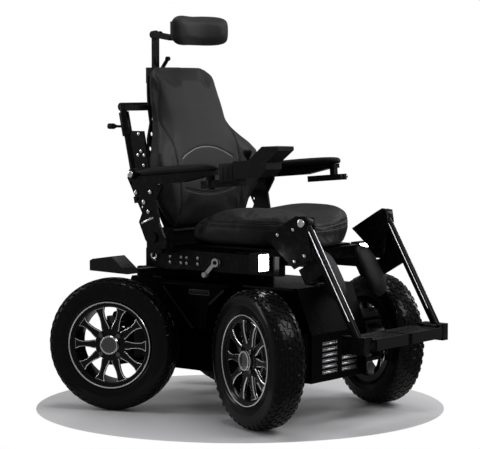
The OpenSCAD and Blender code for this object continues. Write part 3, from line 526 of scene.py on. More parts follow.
    def tube(self, points: Sequence[Point], radius: float, sides: int, closed: bool = False) -> None:
        """Draws a round section along a path.

        Args:
            points: The path.
            radius: The section's radius.
            sides: Corners of the section.
            closed: Whether the path comes back to its start.
        """
        path = [Vector(p) for p in points]
        count = len(path)
        tangents = []
        for i in range(count):
            ahead = path[(i + 1) % count] if closed else path[min(i + 1, count - 1)]
            behind = path[i - 1] if closed else path[max(i - 1, 0)]
            tangents.append((ahead - behind).normalized())
        turn = tangents[0].to_track_quat("Z", "Y")
        frames = []
        for i in range(count):
            if i:
                turn = tangents[i - 1].rotation_difference(tangents[i]) @ turn
            frames.append(Matrix.Translation(path[i]) @ turn.to_matrix().to_4x4())
        if closed:
            frames.append(frames[0])
        first = bmesh.ops.create_circle(
            self.bm, segments=sides, radius=radius, cap_ends=not closed, matrix=frames[0]
        )["verts"]
        edges = list({e for v in first for e in v.link_edges})
        everything = list(first)
        for i in range(1, len(frames)):
            made = bmesh.ops.extrude_edge_only(self.bm, edges=edges)["geom"]
            ring = [g for g in made if isinstance(g, bmesh.types.BMVert)]
            edges = [g for g in made if isinstance(g, bmesh.types.BMEdge)]
            edges = [e for e in edges if all(v in set(ring) for v in e.verts)]
            bmesh.ops.transform(self.bm, matrix=frames[i] @ frames[i - 1].inverted(), verts=ring)
            everything += ring
        if closed:
            bmesh.ops.remove_doubles(self.bm, verts=everything, dist=MERGE)
        else:
            bmesh.ops.contextual_create(self.bm, geom=edges)
        everything = [v for v in everything if v.is_valid]
        bmesh.ops.recalc_face_normals(self.bm, faces=self._faces(everything))

    def bolt(self, where: Point, axis: Point, radius: float, height: float, material: int = 0) -> None:
        """Adds a socket-head bolt on a face.

        Args:
            where: The middle of its seat.
            axis: The way it stands.
            radius: Its head's radius.
            height: Its head's height.
            material: Its material slot.
        """
        axis = Vector(axis).normalized()
        turn = axis.to_track_quat("Z", "Y").to_matrix().to_4x4()
        place = Matrix.Translation(Vector(where) + axis * height / 2) @ turn
        made = bmesh.ops.create_cone(
            self.bm,
            cap_ends=True,
            segments=self.BOLT_SIDES,
            radius1=radius,
            radius2=radius,
            depth=height,
            matrix=place,
        )["verts"]
        faces = self._faces(made)
        self._paint(faces, material)
        caps = [f for f in faces if len(f.verts) == self.BOLT_SIDES]
        top = max(caps, key=lambda f: f.calc_center_median().dot(axis))
        self._bevel(top.edges, height * self.BOLT_EASE, steps=2)
        caps = [f for f in self.bm.faces if len(f.verts) == self.BOLT_SIDES]
        top = max(caps, key=lambda f: self._near(f, where, axis))
        rim = radius * self.SOCKET_RIM
        wall = radius * self.SOCKET_WALL
        bmesh.ops.inset_individual(self.bm, faces=[top], thickness=rim, depth=0.0)
        bmesh.ops.inset_individual(self.bm, faces=[top], thickness=wall, depth=-height * self.SOCKET_DEPTH)

    def _near(self, face: bmesh.types.BMFace, where: Point, axis: Vector) -> float:
        """How well a face fits as the top of a bolt that stands there."""
        offset = face.calc_center_median() - Vector(where)
        return offset.dot(axis) - self.OFF_AXIS * (offset - axis * offset.dot(axis)).length

    def copied(self, matrix: Matrix) -> "Shape":
        """A copy of everything so far, set at a place."""
        made = Shape()
        made.bm.free()
        made.bm = self.bm.copy()
        bmesh.ops.transform(made.bm, matrix=matrix, verts=made.bm.verts)
        return made

    def piece(
        self,
        name: str,
        materials: Sequence[bpy.types.Material],
        body: str,
        replaces: Sequence[str] = (),
        slot: Optional[str] = None,
        sharp: float = 38.0,
        bends: Optional[tuple[str, Point, Point]] = None,
    ) -> bpy.types.Object:
        """Turns the mesh into a piece of the object.

        Args:
            name: The piece's name.
            materials: Its material slots.
            body: The body that it rides on.
            replaces: The CAD nodes that it stands for.
            slot: Not used.
            sharp: The angle past which an edge stays sharp.
            bends: A second body and a bend span; when given, the piece is baked in place and rides on no
                body, and the body and span are not used.

        Returns:
            The new object.
        """
        mesh = bpy.data.meshes.new(name)
        self.bm.to_mesh(mesh)
        self.bm.free()
        for material in materials:
            mesh.materials.append(material)
        mesh.shade_smooth()
        mesh.set_sharp_from_angle(angle=math.radians(sharp))
        made = bpy.data.objects.new(name, mesh)
        bpy.context.scene.collection.objects.link(made)
        if bends:
            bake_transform(made)
        else:
            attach(made, body)
        if replaces:
            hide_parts(*replaces)
        LOG.info("%s: %d faces on %s", name, len(mesh.polygons), body)
        return made


def looking_at(where: Point, aim: Point) -> Matrix:
    """The place of a camera or a lamp that faces a point.

    Args:
        where: Its place.
        aim: The point that it faces.

    Returns:
        The place as a matrix.
    """
    view = Vector(aim) - Vector(where)
    return Matrix.Translation(where) @ view.to_track_quat("-Z", "Y").to_matrix().to_4x4()


def climb(run: Vector) -> Matrix:
    """A turn about Y that lays X along a run.

    Args:
        run: The run's X and Z.

    Returns:
        The turn as a matrix.
    """
    return Matrix.Rotation(-math.atan2(run.y, run.x), 4, "Y")


@dataclass(frozen=True)
class SoftBox:
    """A rectangular lamp, with its width and height in metres and its power in watts."""

    name: str
    where: Triple
    aim: Triple
    size: Pair
    power: float

    def build(self) -> None:
        """Adds the lamp to the scene."""
        data = bpy.data.lights.new(self.name, "AREA")
        data.shape = "RECTANGLE"
        data.size, data.size_y = self.size
        data.energy = self.power
        made = bpy.data.objects.new(self.name, data)
        made.matrix_world = looking_at(self.where, self.aim)
        bpy.context.scene.collection.objects.link(made)


@dataclass
class Studio:
    """Camera, light and floor."""

    target: Triple = (-0.0627, 0.0, 0.5702)
    position: Triple = (3.6053, -4.6114, 1.0036)
    lens: float = 143.3
    sensor: float = 36.0
    sight: float = 60.0
    shift: Pair = (-0.0150, -0.0040)
    surround: float = 0.26
    backdrop: float = 1.0
    floor_radius: float = 0.632
    floor_centre: Pair = (-0.083, -0.01)
    floor_drop: float = 0.0004
    floor_sides: int = 160
    floor_dim: Triple = (0.82, 0.82, 0.84)
    floor_pale: Triple = (0.88, 0.88, 0.90)
    lamps: tuple[SoftBox, ...] = (
        SoftBox("key", (2.7, 0.5, 3.2), (0.0, 0.0, 0.6), (1.6, 1.6), 42.0),
        SoftBox("side", (-2.8, -2.0, 1.7), (-0.1, 0.0, 0.7), (0.6, 2.2), 20.0),
        SoftBox("far_edge", (1.2, 3.0, 2.2), (0.1, 0.0, 0.7), (0.8, 2.0), 34.0),
        SoftBox("top", (-0.2, 0.0, 3.6), (0.0, 0.0, 0.5), (1.6, 1.0), 34.0),
    )

    def camera(self) -> None:
        """Sets the camera at the photograph's angle."""
        data = bpy.data.cameras.new("camera")
        data.sensor_fit = "HORIZONTAL"
        data.sensor_width = self.sensor
        data.lens = self.lens
        data.shift_x, data.shift_y = self.shift
        data.clip_end = self.sight
        made = bpy.data.objects.new("camera", data)
        made.matrix_world = looking_at(self.position, self.target)
        bpy.context.scene.collection.objects.link(made)
        bpy.context.scene.camera = made

    def sky(self) -> None:
        """Sets a white surround that the camera sees, with a dimmer one for the light."""
        world = bpy.data.worlds.new("surround")
        world.use_nodes = True
        tree = world.node_tree
        seen = tree.nodes.new("ShaderNodeLightPath")
        strength = tree.nodes.new("ShaderNodeMapRange")
        strength.inputs["To Min"].default_value = self.surround
        strength.inputs["To Max"].default_value = self.backdrop
        background = next(n for n in tree.nodes if n.type == "BACKGROUND")
        background.inputs["Color"].default_value = WHITE
        tree.links.new(seen.outputs["Is Camera Ray"], strength.inputs["Value"])
        tree.links.new(strength.outputs[0], background.inputs["Strength"])
        bpy.context.scene.world = world
        bpy.context.scene.view_settings.view_transform = "Standard"

    def floor(self) -> None:
        """Lays a round pale floor under the chair."""
        painter = Painter("floor")
        cloud = painter.noise(3.0, 3.0)
        painter.set(
            Base_Color=painter.mix(cloud, (*self.floor_dim, 1.0), (*self.floor_pale, 1.0)),
            Roughness=0.30 + cloud * 0.1,
        )
        shape = bmesh.new()
        bmesh.ops.create_circle(
            shape,
            cap_ends=True,
            segments=self.floor_sides,
            radius=self.floor_radius,
            matrix=Matrix.Translation((*self.floor_centre, -self.floor_drop)),
        )
        mesh = bpy.data.meshes.new("floor")
        shape.to_mesh(mesh)
        shape.free()
        mesh.materials.append(painter.material)
        made = bpy.data.objects.new("floor", mesh)
        bpy.context.scene.collection.objects.link(made)

    def build(self) -> None:
        """Sets up the whole studio."""
        self.camera()
        self.sky()
        self.floor()
        for lamp in self.lamps:
            lamp.build()


@dataclass
class Finishes:
    """Every material of the chair."""

    leather: bpy.types.Material
    thread: bpy.types.Material
    pad_skin: bpy.types.Material
    paint: bpy.types.Material
    panel: bpy.types.Material
    plastic: bpy.types.Material
    cast: bpy.types.Material
    rubber: bpy.types.Material
    alloy: bpy.types.Material
    machined: bpy.types.Material
    chrome: bpy.types.Material
    steel: bpy.types.Material
    smoked: bpy.types.Material
    glass: bpy.types.Material
    trim: bpy.types.Material
    lit: bpy.types.Material
    red: bpy.types.Material

    @classmethod
    def mixed(cls) -> "Finishes":
        """Makes every material.

        Returns:
            The set of materials.
        """
        soft = (0.019, 0.019, 0.0205)
        return cls(
            leather=Finish(
                "leatherette", Grain.HIDE, (0.014, 0.0142, 0.0155), soft,
                roughness=0.48, spread=0.12, relief=0.0002, dust=0.02, shine=0.22,
            ).make(),
            thread=Finish(
                "stitching", Grain.MOULDED, (0.34, 0.34, 0.35), (0.45, 0.45, 0.45),
                roughness=0.5, spread=0.1,
            ).make(),
            pad_skin=Finish(
                "moulded_pad", Grain.HIDE, (0.008, 0.008, 0.0088), soft,
                roughness=0.5, spread=0.12, relief=0.0001, dust=0.02, shine=0.15,
            ).make(),
            paint=Finish(
                "black_powder_coat", Grain.PEEL, (0.0030, 0.0030, 0.0034), (0.03, 0.03, 0.032),
                roughness=0.34, spread=0.12, coat=0.05, relief=0.00003, dust=0.01, shine=0.09,
            ).make(),
            panel=Finish(
                "body_panel", Grain.PEEL, (0.0008, 0.0008, 0.0010), (0.004, 0.004, 0.0045),
                roughness=0.28, spread=0.12, relief=0.00003, dust=0.001, shine=0.03,
            ).make(),
            plastic=Finish(
                "moulded_plastic", Grain.MOULDED, (0.006, 0.006, 0.0066), soft,
                roughness=0.46, spread=0.14, relief=0.00008, dust=0.02, shine=0.14,
            ).make(),
            cast=Finish(
                "cast_housing", Grain.CAST, (0.05, 0.05, 0.055), (0.12, 0.12, 0.12),
                roughness=0.5, spread=0.15, metallic=0.6, relief=0.0002,
            ).make(),
            rubber=Finish(
                "tyre_rubber", Grain.RUBBER, (0.0018, 0.0018, 0.0020), (0.009, 0.009, 0.0086),
                roughness=0.32, spread=0.14, coat=0.2, relief=0.00018, dust=0.003, shine=0.06,
            ).make(),
            alloy=Finish(
                "black_alloy", Grain.PEEL, (0.004, 0.004, 0.0045), (0.02, 0.02, 0.02),
                roughness=0.14, spread=0.08, coat=0.1, relief=0.00002, shine=0.16,
            ).make(),
            # Bright metal for the rim's lip, also laid on the spoke edges as a painted highlight.
            machined=Finish(
                "machined_edge", Grain.BRUSHED, (0.86, 0.86, 0.88), (0.65, 0.65, 0.66),
                roughness=0.16, spread=0.08, metallic=1.0, relief=0.00003,
            ).make(),
            chrome=Finish(
                "chrome", Grain.PEEL, (0.85, 0.85, 0.87), (0.6, 0.6, 0.6),
                roughness=0.1, spread=0.08, metallic=1.0, relief=0.00001,
            ).make(),
            steel=Finish(
                "steel", Grain.BRUSHED, (0.5, 0.5, 0.52), (0.32, 0.32, 0.33),
                roughness=0.28, spread=0.12, metallic=1.0, relief=0.00004,
            ).make(),
            smoked=Finish(
                "smoked_alloy", Grain.BRUSHED, (0.12, 0.12, 0.125), (0.2, 0.2, 0.2),
                roughness=0.2, spread=0.1, metallic=1.0, coat=0.4, relief=0.00002,
            ).make(),
            glass=Finish(
                "dark_glass", Grain.PEEL, (0.004, 0.005, 0.007), (0.008, 0.009, 0.01),
                roughness=0.06, spread=0.04, coat=1.0, relief=0.000005,
            ).make(),
            trim=Finish(
                "grey_trim", Grain.MOULDED, (0.075, 0.075, 0.078), (0.12, 0.12, 0.12),
                roughness=0.5, spread=0.12, relief=0.00008, shine=0.3,
            ).make(),
            lit=Glow("lit_lens", (0.9, 0.95, 1.0), (0.92, 0.97, 1.0), 9.0).make(),
            red=Lens("red_lens", (0.42, 0.012, 0.015), (0.16, 0.004, 0.006), 60.0).make(),
        )


@dataclass(frozen=True)
class TreadRow:
    """A row of tread blocks: where it runs on the tyre, how its blocks are set, and their half sizes."""

    across: float
    radius: float
    tilt: float
    half_length: float
    half_width: float
    skew: float


@dataclass
class Wheel:
    """A finely blocked tyre on a ten-spoke rim, modelled once and set at each corner.

    Profiles are pairs of a radius and a distance along the axle. The dish and the lip are measured from the
    rim's outer edge, and the cap from its own foot.
    """

    finishes: Finishes
    track: float = 0.607
    front_x: float = 0.216985
    rear_x: float = -0.343015
    turned: float = 21.5
    tyre_r: float = 0.203
    tyre_steps: int = 138
    tyre_wall: Pairs = (
        (0.1340, 0.0400), (0.1365, 0.0436), (0.1425, 0.0468), (0.1500, 0.0487), (0.1570, 0.0496),
        (0.1585, 0.0504), (0.1610, 0.0504), (0.1625, 0.0498), (0.1720, 0.0494), (0.1810, 0.0480),
        (0.1880, 0.0452), (0.1930, 0.0410), (0.1968, 0.0350), (0.1992, 0.0250),
    )
    tyre_liner: Pairs = (
        (0.1825, 0.0), (0.181, 0.030), (0.170, 0.040), (0.150, 0.0395), (0.136, 0.033), (0.1215, 0.031),
    )
    crown_half: float = 0.0130
    bead: Pair = (0.1215, 0.040)
    blocks: int = 46
    relief: float = 0.0024
    block_foot: float = 0.003
    block_ease: float = 0.0011
    rim_r: float = 0.134
    rim_half: float = 0.044
    rim_steps: int = 112
    flange_t: float = 0.004
    seat: Pair = (0.1235, 0.038)
    well: Pair = (0.121, 0.030)
    barrel_r: float = 0.115
    barrel_in: float = 0.014
    dish: Pairs = ((0.1300, 0.0004), (0.1285, -0.003), (0.1180, -0.008))
    lip: Pairs = (
        (0.1294, -0.001), (0.1338, -0.001), (0.1338, 0.0012), (0.1328, 0.0024), (0.1306, 0.0024),
        (0.1294, 0.0012),
    )
    spokes: int = 10
    spoke_face: float = 0.036
    spoke_t: float = 0.012
    spoke_in: float = 0.001
    spoke_ease: float = 0.0026
    spoke_side: Pairs = (
        (0.0138, 0.046), (0.0128, 0.058), (0.0100, 0.072), (0.0090, 0.088), (0.0108, 0.102),
        (0.0180, 0.1165),
    )
    disc_r: float = 0.050
    disc_ease: float = 0.002
    cap_r: float = 0.030
    cap_gap: float = 0.0004
    cap_out: float = 0.004
    cap_steps: int = 64
    cap_ring: Pairs = (
        (0.0240, 0.0), (0.0304, 0.0), (0.0304, 0.0020), (0.0292, 0.0036),
        (0.0292, 0.0074), (0.0280, 0.0088), (0.0252, 0.0090), (0.0240, 0.0078),
    )
    cap_dome: Pairs = (
        (0.0, 0.0094), (0.008, 0.0092), (0.017, 0.0084), (0.0240, 0.0070), (0.0240, 0.0),
    )
    dome_steps: int = 48
    sharp: float = 30.0

    def place(self, corner: str) -> Matrix:
        """Where a wheel stands, with its Y axis outwards.

        Args:
            corner: The corner's name.

        Returns:
            The place as a matrix.
        """
        front = corner.startswith("front")
        left = corner.endswith("left")
        x = self.front_x if front else self.rear_x
        y = self.track / 2 * (LEFT if left else RIGHT)
        turn = math.radians(-self.turned if front else self.turned) + (0.0 if left else math.pi)
        return Matrix.Translation((x, y, self.tyre_r)) @ Matrix.Rotation(turn, 4, "Z")

    def rows(self) -> tuple[TreadRow, ...]:
        """The rows of tread blocks from the crown to the shoulder, on one half of the tyre."""
        return (
            TreadRow(0.0068, self.tyre_r - self.relief, 0.00, 0.0098, 0.0056, 0.30),
            TreadRow(0.0200, 0.2000, 0.10, 0.0090, 0.0056, -0.30),
            TreadRow(0.0322, 0.1976, 0.34, 0.0078, 0.0052, 0.0),
            TreadRow(0.0425, 0.1912, 0.86, 0.0058, 0.0050, 0.0),
        )

    def tyre(self) -> Shape:
        """Models the tyre: a smooth carcass with low blocks over its crown.

        Returns:
            The tyre's mesh.
        """
        shape = Shape()
        crown = self.tyre_r - self.relief
        side = [*self.tyre_wall, (crown, self.crown_half), (crown, 0.0)]
        far = [(r, -y) for r, y in side[:-1]]
        liner = self.tyre_liner[::-1]
        inside = [(r, -y) for r, y in self.tyre_liner[1:]]
        bead_r, bead_y = self.bead
        ring = [*far, *side[::-1], (bead_r, bead_y), *liner, *inside, (bead_r, -bead_y)]
        shape.lathe(ring, Matrix(), steps=self.tyre_steps, closed=True)
        step = math.tau / self.blocks
        for i in range(self.blocks):
            for way in SIDES:
                for number, row in enumerate(self.rows()):
                    phase = 0.5 * (number % 2) + (0.25 if way == LEFT else 0.0)
                    set_at = (
                        Matrix.Rotation((i + phase) * step, 4, "Y")
                        @ Matrix.Translation((0.0, way * row.across, row.radius))
                        @ Matrix.Rotation(-way * row.tilt, 4, "X")
                        @ Matrix.Rotation(way * row.skew, 4, "Z")
                    )
                    low = (-row.half_length, -row.half_width, -self.block_foot)
                    high = (row.half_length, row.half_width, self.relief)
                    shape.box(low, high, self.block_ease, steps=1, place=set_at)
        return shape

    def barrel(self, shape: Shape) -> None:
        """Adds the barrel and its bright lip.

        Args:
            shape: The rim's mesh.
        """
        half = self.rim_half
        seat_r, seat_y = self.seat
        well_r, well_y = self.well
        profile = [
            (self.barrel_r, -half), (self.rim_r, -half), (self.rim_r, -half + self.flange_t),
            (seat_r, -seat_y), (well_r, -well_y), (well_r, well_y), (seat_r, seat_y),
            (self.rim_r, half - self.flange_t), (self.rim_r, half),
            *[(r, half + out) for r, out in self.dish],
            (self.barrel_r, half - self.barrel_in),
        ]
        shape.lathe(profile, Matrix(), steps=self.rim_steps, closed=True)
        lip = [(r, half + out) for r, out in self.lip]
        shape.lathe(lip, Matrix(), steps=self.rim_steps, material=1, closed=True)

    def rim(self) -> Shape:
        """Models the rim: a barrel, a bright lip and flared spokes whose rounded edges carry bright metal
        as a painted highlight.

        Returns:
            The rim's mesh.
        """
        shape = Shape()
        self.barrel(shape)
        back = self.spoke_face - self.spoke_t
        outline = [(-x, z) for x, z in self.spoke_side] + list(self.spoke_side[::-1])
        along = (0.0, self.spoke_t - 2 * self.spoke_in, 0.0)
        for i in range(self.spokes):
            turn = Matrix.Rotation((i + 0.5) * math.tau / self.spokes, 4, "Y")
            corners = [turn @ Vector((x, back + self.spoke_in, z)) for x, z in outline]
            # The rounded spoke edges take slot 1, bright metal that paints the edge highlight.
            shape.slab(corners, along, bevel=self.spoke_ease, steps=3, material=0, edge=1)
        bore = self.cap_r + self.cap_gap
        disc = [
            (bore, back), (self.disc_r, back), (self.disc_r, self.spoke_face - self.disc_ease),
            (self.disc_r - self.disc_ease, self.spoke_face), (bore, self.spoke_face),
        ]
        shape.lathe(disc, Matrix(), steps=self.cap_steps, material=0, closed=True)
        return shape

    def cap(self) -> Shape:
        """Models the centre cap: a bright stepped ring round a plain brushed dome.

        Returns:
            The cap's mesh.
        """
        shape = Shape()
        low = self.spoke_face + self.cap_out
        ring = [(r, low + out) for r, out in self.cap_ring]
        dome = [(r, low + out) for r, out in self.cap_dome]
        shape.lathe(ring, Matrix(), steps=self.cap_steps, closed=True)
        shape.lathe(dome, Matrix(), steps=self.dome_steps, material=1)
        return shape

    def build(self) -> None:
        """Builds the four wheels."""
        look = self.finishes
        tyre = self.tyre()
        rim = self.rim()
        cap = self.cap()
        for corner in CORNERS:
            place = self.place(corner)
            body = "wheel_" + corner
            tyre.copied(place).piece(
                "tread_" + corner, [look.rubber], body, ["tyre_" + corner], "tyre", sharp=self.sharp
            )
            rim.copied(place).piece(
                "spoked_rim_" + corner, [look.alloy, look.machined], body, ["rim_" + corner], "alloy",
                sharp=self.sharp,
            )
            cap.copied(place).piece(
                "wheel_cap_" + corner, [look.chrome, look.smoked], body, slot="chrome", sharp=self.sharp
            )


@dataclass
class Padding:
    """A padded piece that swells in its cover from the form of its CAD solid."""

    node: str
    name: str
    body: str
    slot: str
    material: bpy.types.Material
    rests: Triple
    voxel: float = 0.006
    pressure: float = 4.0
    most: float = 0.010
    shrink: float = 0.003
    fill: float = 0.7
    levels: int = 1
    kept_from: float = 0.9
    held_from: float = 0.85
    moments: int = 20
    smoothings: int = 3

    def _start(self) -> bpy.types.Object:
        """A merged, slightly smaller and evenly meshed copy of the solid.

        Returns:
            The new object.
        """
        form = bmesh.new()
        form.from_mesh(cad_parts[self.node].data)
        bmesh.ops.remove_doubles(form, verts=form.verts, dist=MERGE)
        form.normal_update()
        for vert in form.verts:
            away = 1.0 if vert.normal.dot(Vector(self.rests)) < self.kept_from else 0.0
            vert.co -= vert.normal * self.shrink * away
        mesh = bpy.data.meshes.new(self.name)
        form.to_mesh(mesh)
        form.free()
        made = bpy.data.objects.new(self.name, mesh)
        bpy.context.scene.collection.objects.link(made)
        remesh = made.modifiers.new("even", "REMESH")
        remesh.mode = "VOXEL"
        remesh.voxel_size = self.voxel
        self._bake(made)
        return made

    @staticmethod
    def _bake(made: bpy.types.Object) -> None:
        """Applies an object's modifiers to its mesh."""
        graph = bpy.context.evaluated_depsgraph_get()
        graph.update()
        mesh = bpy.data.meshes.new_from_object(made.evaluated_get(graph))
        made.modifiers.clear()
        made.data = mesh

    def _swell(self, made: bpy.types.Object) -> None:
        """Blows the cover up with a cloth simulation, with the side that rests on its support held still.

        Args:
            made: The evenly meshed piece.
        """
        held = made.vertex_groups.new(name="held")
        start = [vert.co.copy() for vert in made.data.vertices]
        rests = Vector(self.rests)
        still = [v.index for v in made.data.vertices if v.normal.dot(rests) > self.held_from]
        held.add(still, 1.0, "REPLACE")
        cloth = made.modifiers.new("cover", "CLOTH")
        setup = cloth.settings
        setup.quality = 4
        setup.mass = 0.25
        setup.tension_stiffness = 12.0
        setup.compression_stiffness = 12.0
        setup.shear_stiffness = 6.0
        setup.bending_stiffness = 1.5
        setup.use_pressure = True
        setup.uniform_pressure_force = self.pressure
        setup.vertex_group_mass = "held"
        setup.effector_weights.gravity = 0.0
        cloth.collision_settings.use_collision = False
        cloth.point_cache.frame_start = 1
        cloth.point_cache.frame_end = self.moments
        for moment in range(1, self.moments + 1):
            bpy.context.scene.frame_set(moment)
        self._bake(made)
        bpy.context.scene.frame_set(1)
        for vert, first in zip(made.data.vertices, start):
            shift = vert.co - first
            if shift.length > self.most:
                vert.co = first + shift.normalized() * self.most

    def build(self) -> bpy.types.Object:
        """Builds the piece.

        Returns:
            The finished cushion or pad.
        """
        made = self._start()
        self._swell(made)
        form = bmesh.new()
        form.from_mesh(made.data)
        for _ in range(self.smoothings):
            bmesh.ops.smooth_vert(
                form, verts=form.verts, factor=0.5, use_axis_x=True, use_axis_y=True, use_axis_z=True
            )
        bmesh.ops.recalc_face_normals(form, faces=form.faces)
        form.to_mesh(made.data)
        form.free()
        made.vertex_groups.clear()
        smooth = made.modifiers.new("smooth", "SUBSURF")
        smooth.levels = self.levels
        smooth.render_levels = self.levels
        self._bake(made)
        made.data.materials.clear()
        made.data.materials.append(self.material)
        made.data.shade_smooth()
        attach(made, self.body)
        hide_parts(self.node)
        LOG.info("%s: %d faces on %s", self.name, len(made.data.polygons), self.body)
        return made


class Cover:
    """Sewn detail on a padded piece: pressed seams and piping that lie on its surface."""

    REACH = 3.0
    LEAST = 0.00002

    def __init__(self, cushion: bpy.types.Object) -> None:
        """Keeps the cushion and a tree of its surface."""
        self.cushion = cushion
        form = bmesh.new()
        form.from_mesh(cushion.data)
        self.tree = BVHTree.FromBMesh(form)
        form.free()

    def hit(self, start: Point, way: Point) -> Optional[Vector]:
        """Where a ray meets the cover, or None."""
        return self.tree.ray_cast(Vector(start), Vector(way).normalized())[0]

    def lifted(self, points: Iterable[Optional[Vector]], height: float) -> list[Vector]:
        """Points of a path moved out from the cover.

        Args:
            points: Points on the cover; None is left out.
            height: How far to move them along the surface's normal.

        Returns:
            The moved points.
        """
        found = []
        for point in points:
            if point is None:
                continue
            spot, normal, _, _ = self.tree.find_nearest(point)
            found.append(spot + normal * height)
        return found

    def press(self, paths: Sequence[Sequence[Vector]], width: float, depth: float) -> None:
        """Pulls the cover in along seams.

        Args:
            paths: The seams' points.
            width: How far the pull reaches.
            depth: How deep it goes.
        """
        mesh = self.cushion.data
        near = bmesh.new()
        for path in paths:
            verts = [bmesh.ops.create_vert(near, co=p)["vert"][0] for p in path]
            for first, second in zip(verts, verts[1:]):
                bmesh.ops.contextual_create(near, geom=[first, second])
        spots = [v.co.copy() for v in near.verts]
        near.verts.index_update()
        links = [tuple(v.index for v in e.verts) for e in near.edges]
        near.free()
        thin = BVHTree.FromPolygons(spots, [(a, b, b) for a, b in links], epsilon=0.0)
        moves = []
        for vert in mesh.vertices:
            spot = thin.find_nearest(vert.co, width * self.REACH)[0]
            gap = (vert.co - spot).length if spot is not None else None
            moves.append(depth * math.exp(-((gap / width) ** 2)) if gap is not None else 0.0)
        normals = [vert.normal.copy() for vert in mesh.vertices]
        for vert, normal, move in zip(mesh.vertices, normals, moves):
            if move > self.LEAST:
                vert.co -= normal * move
        mesh.update()


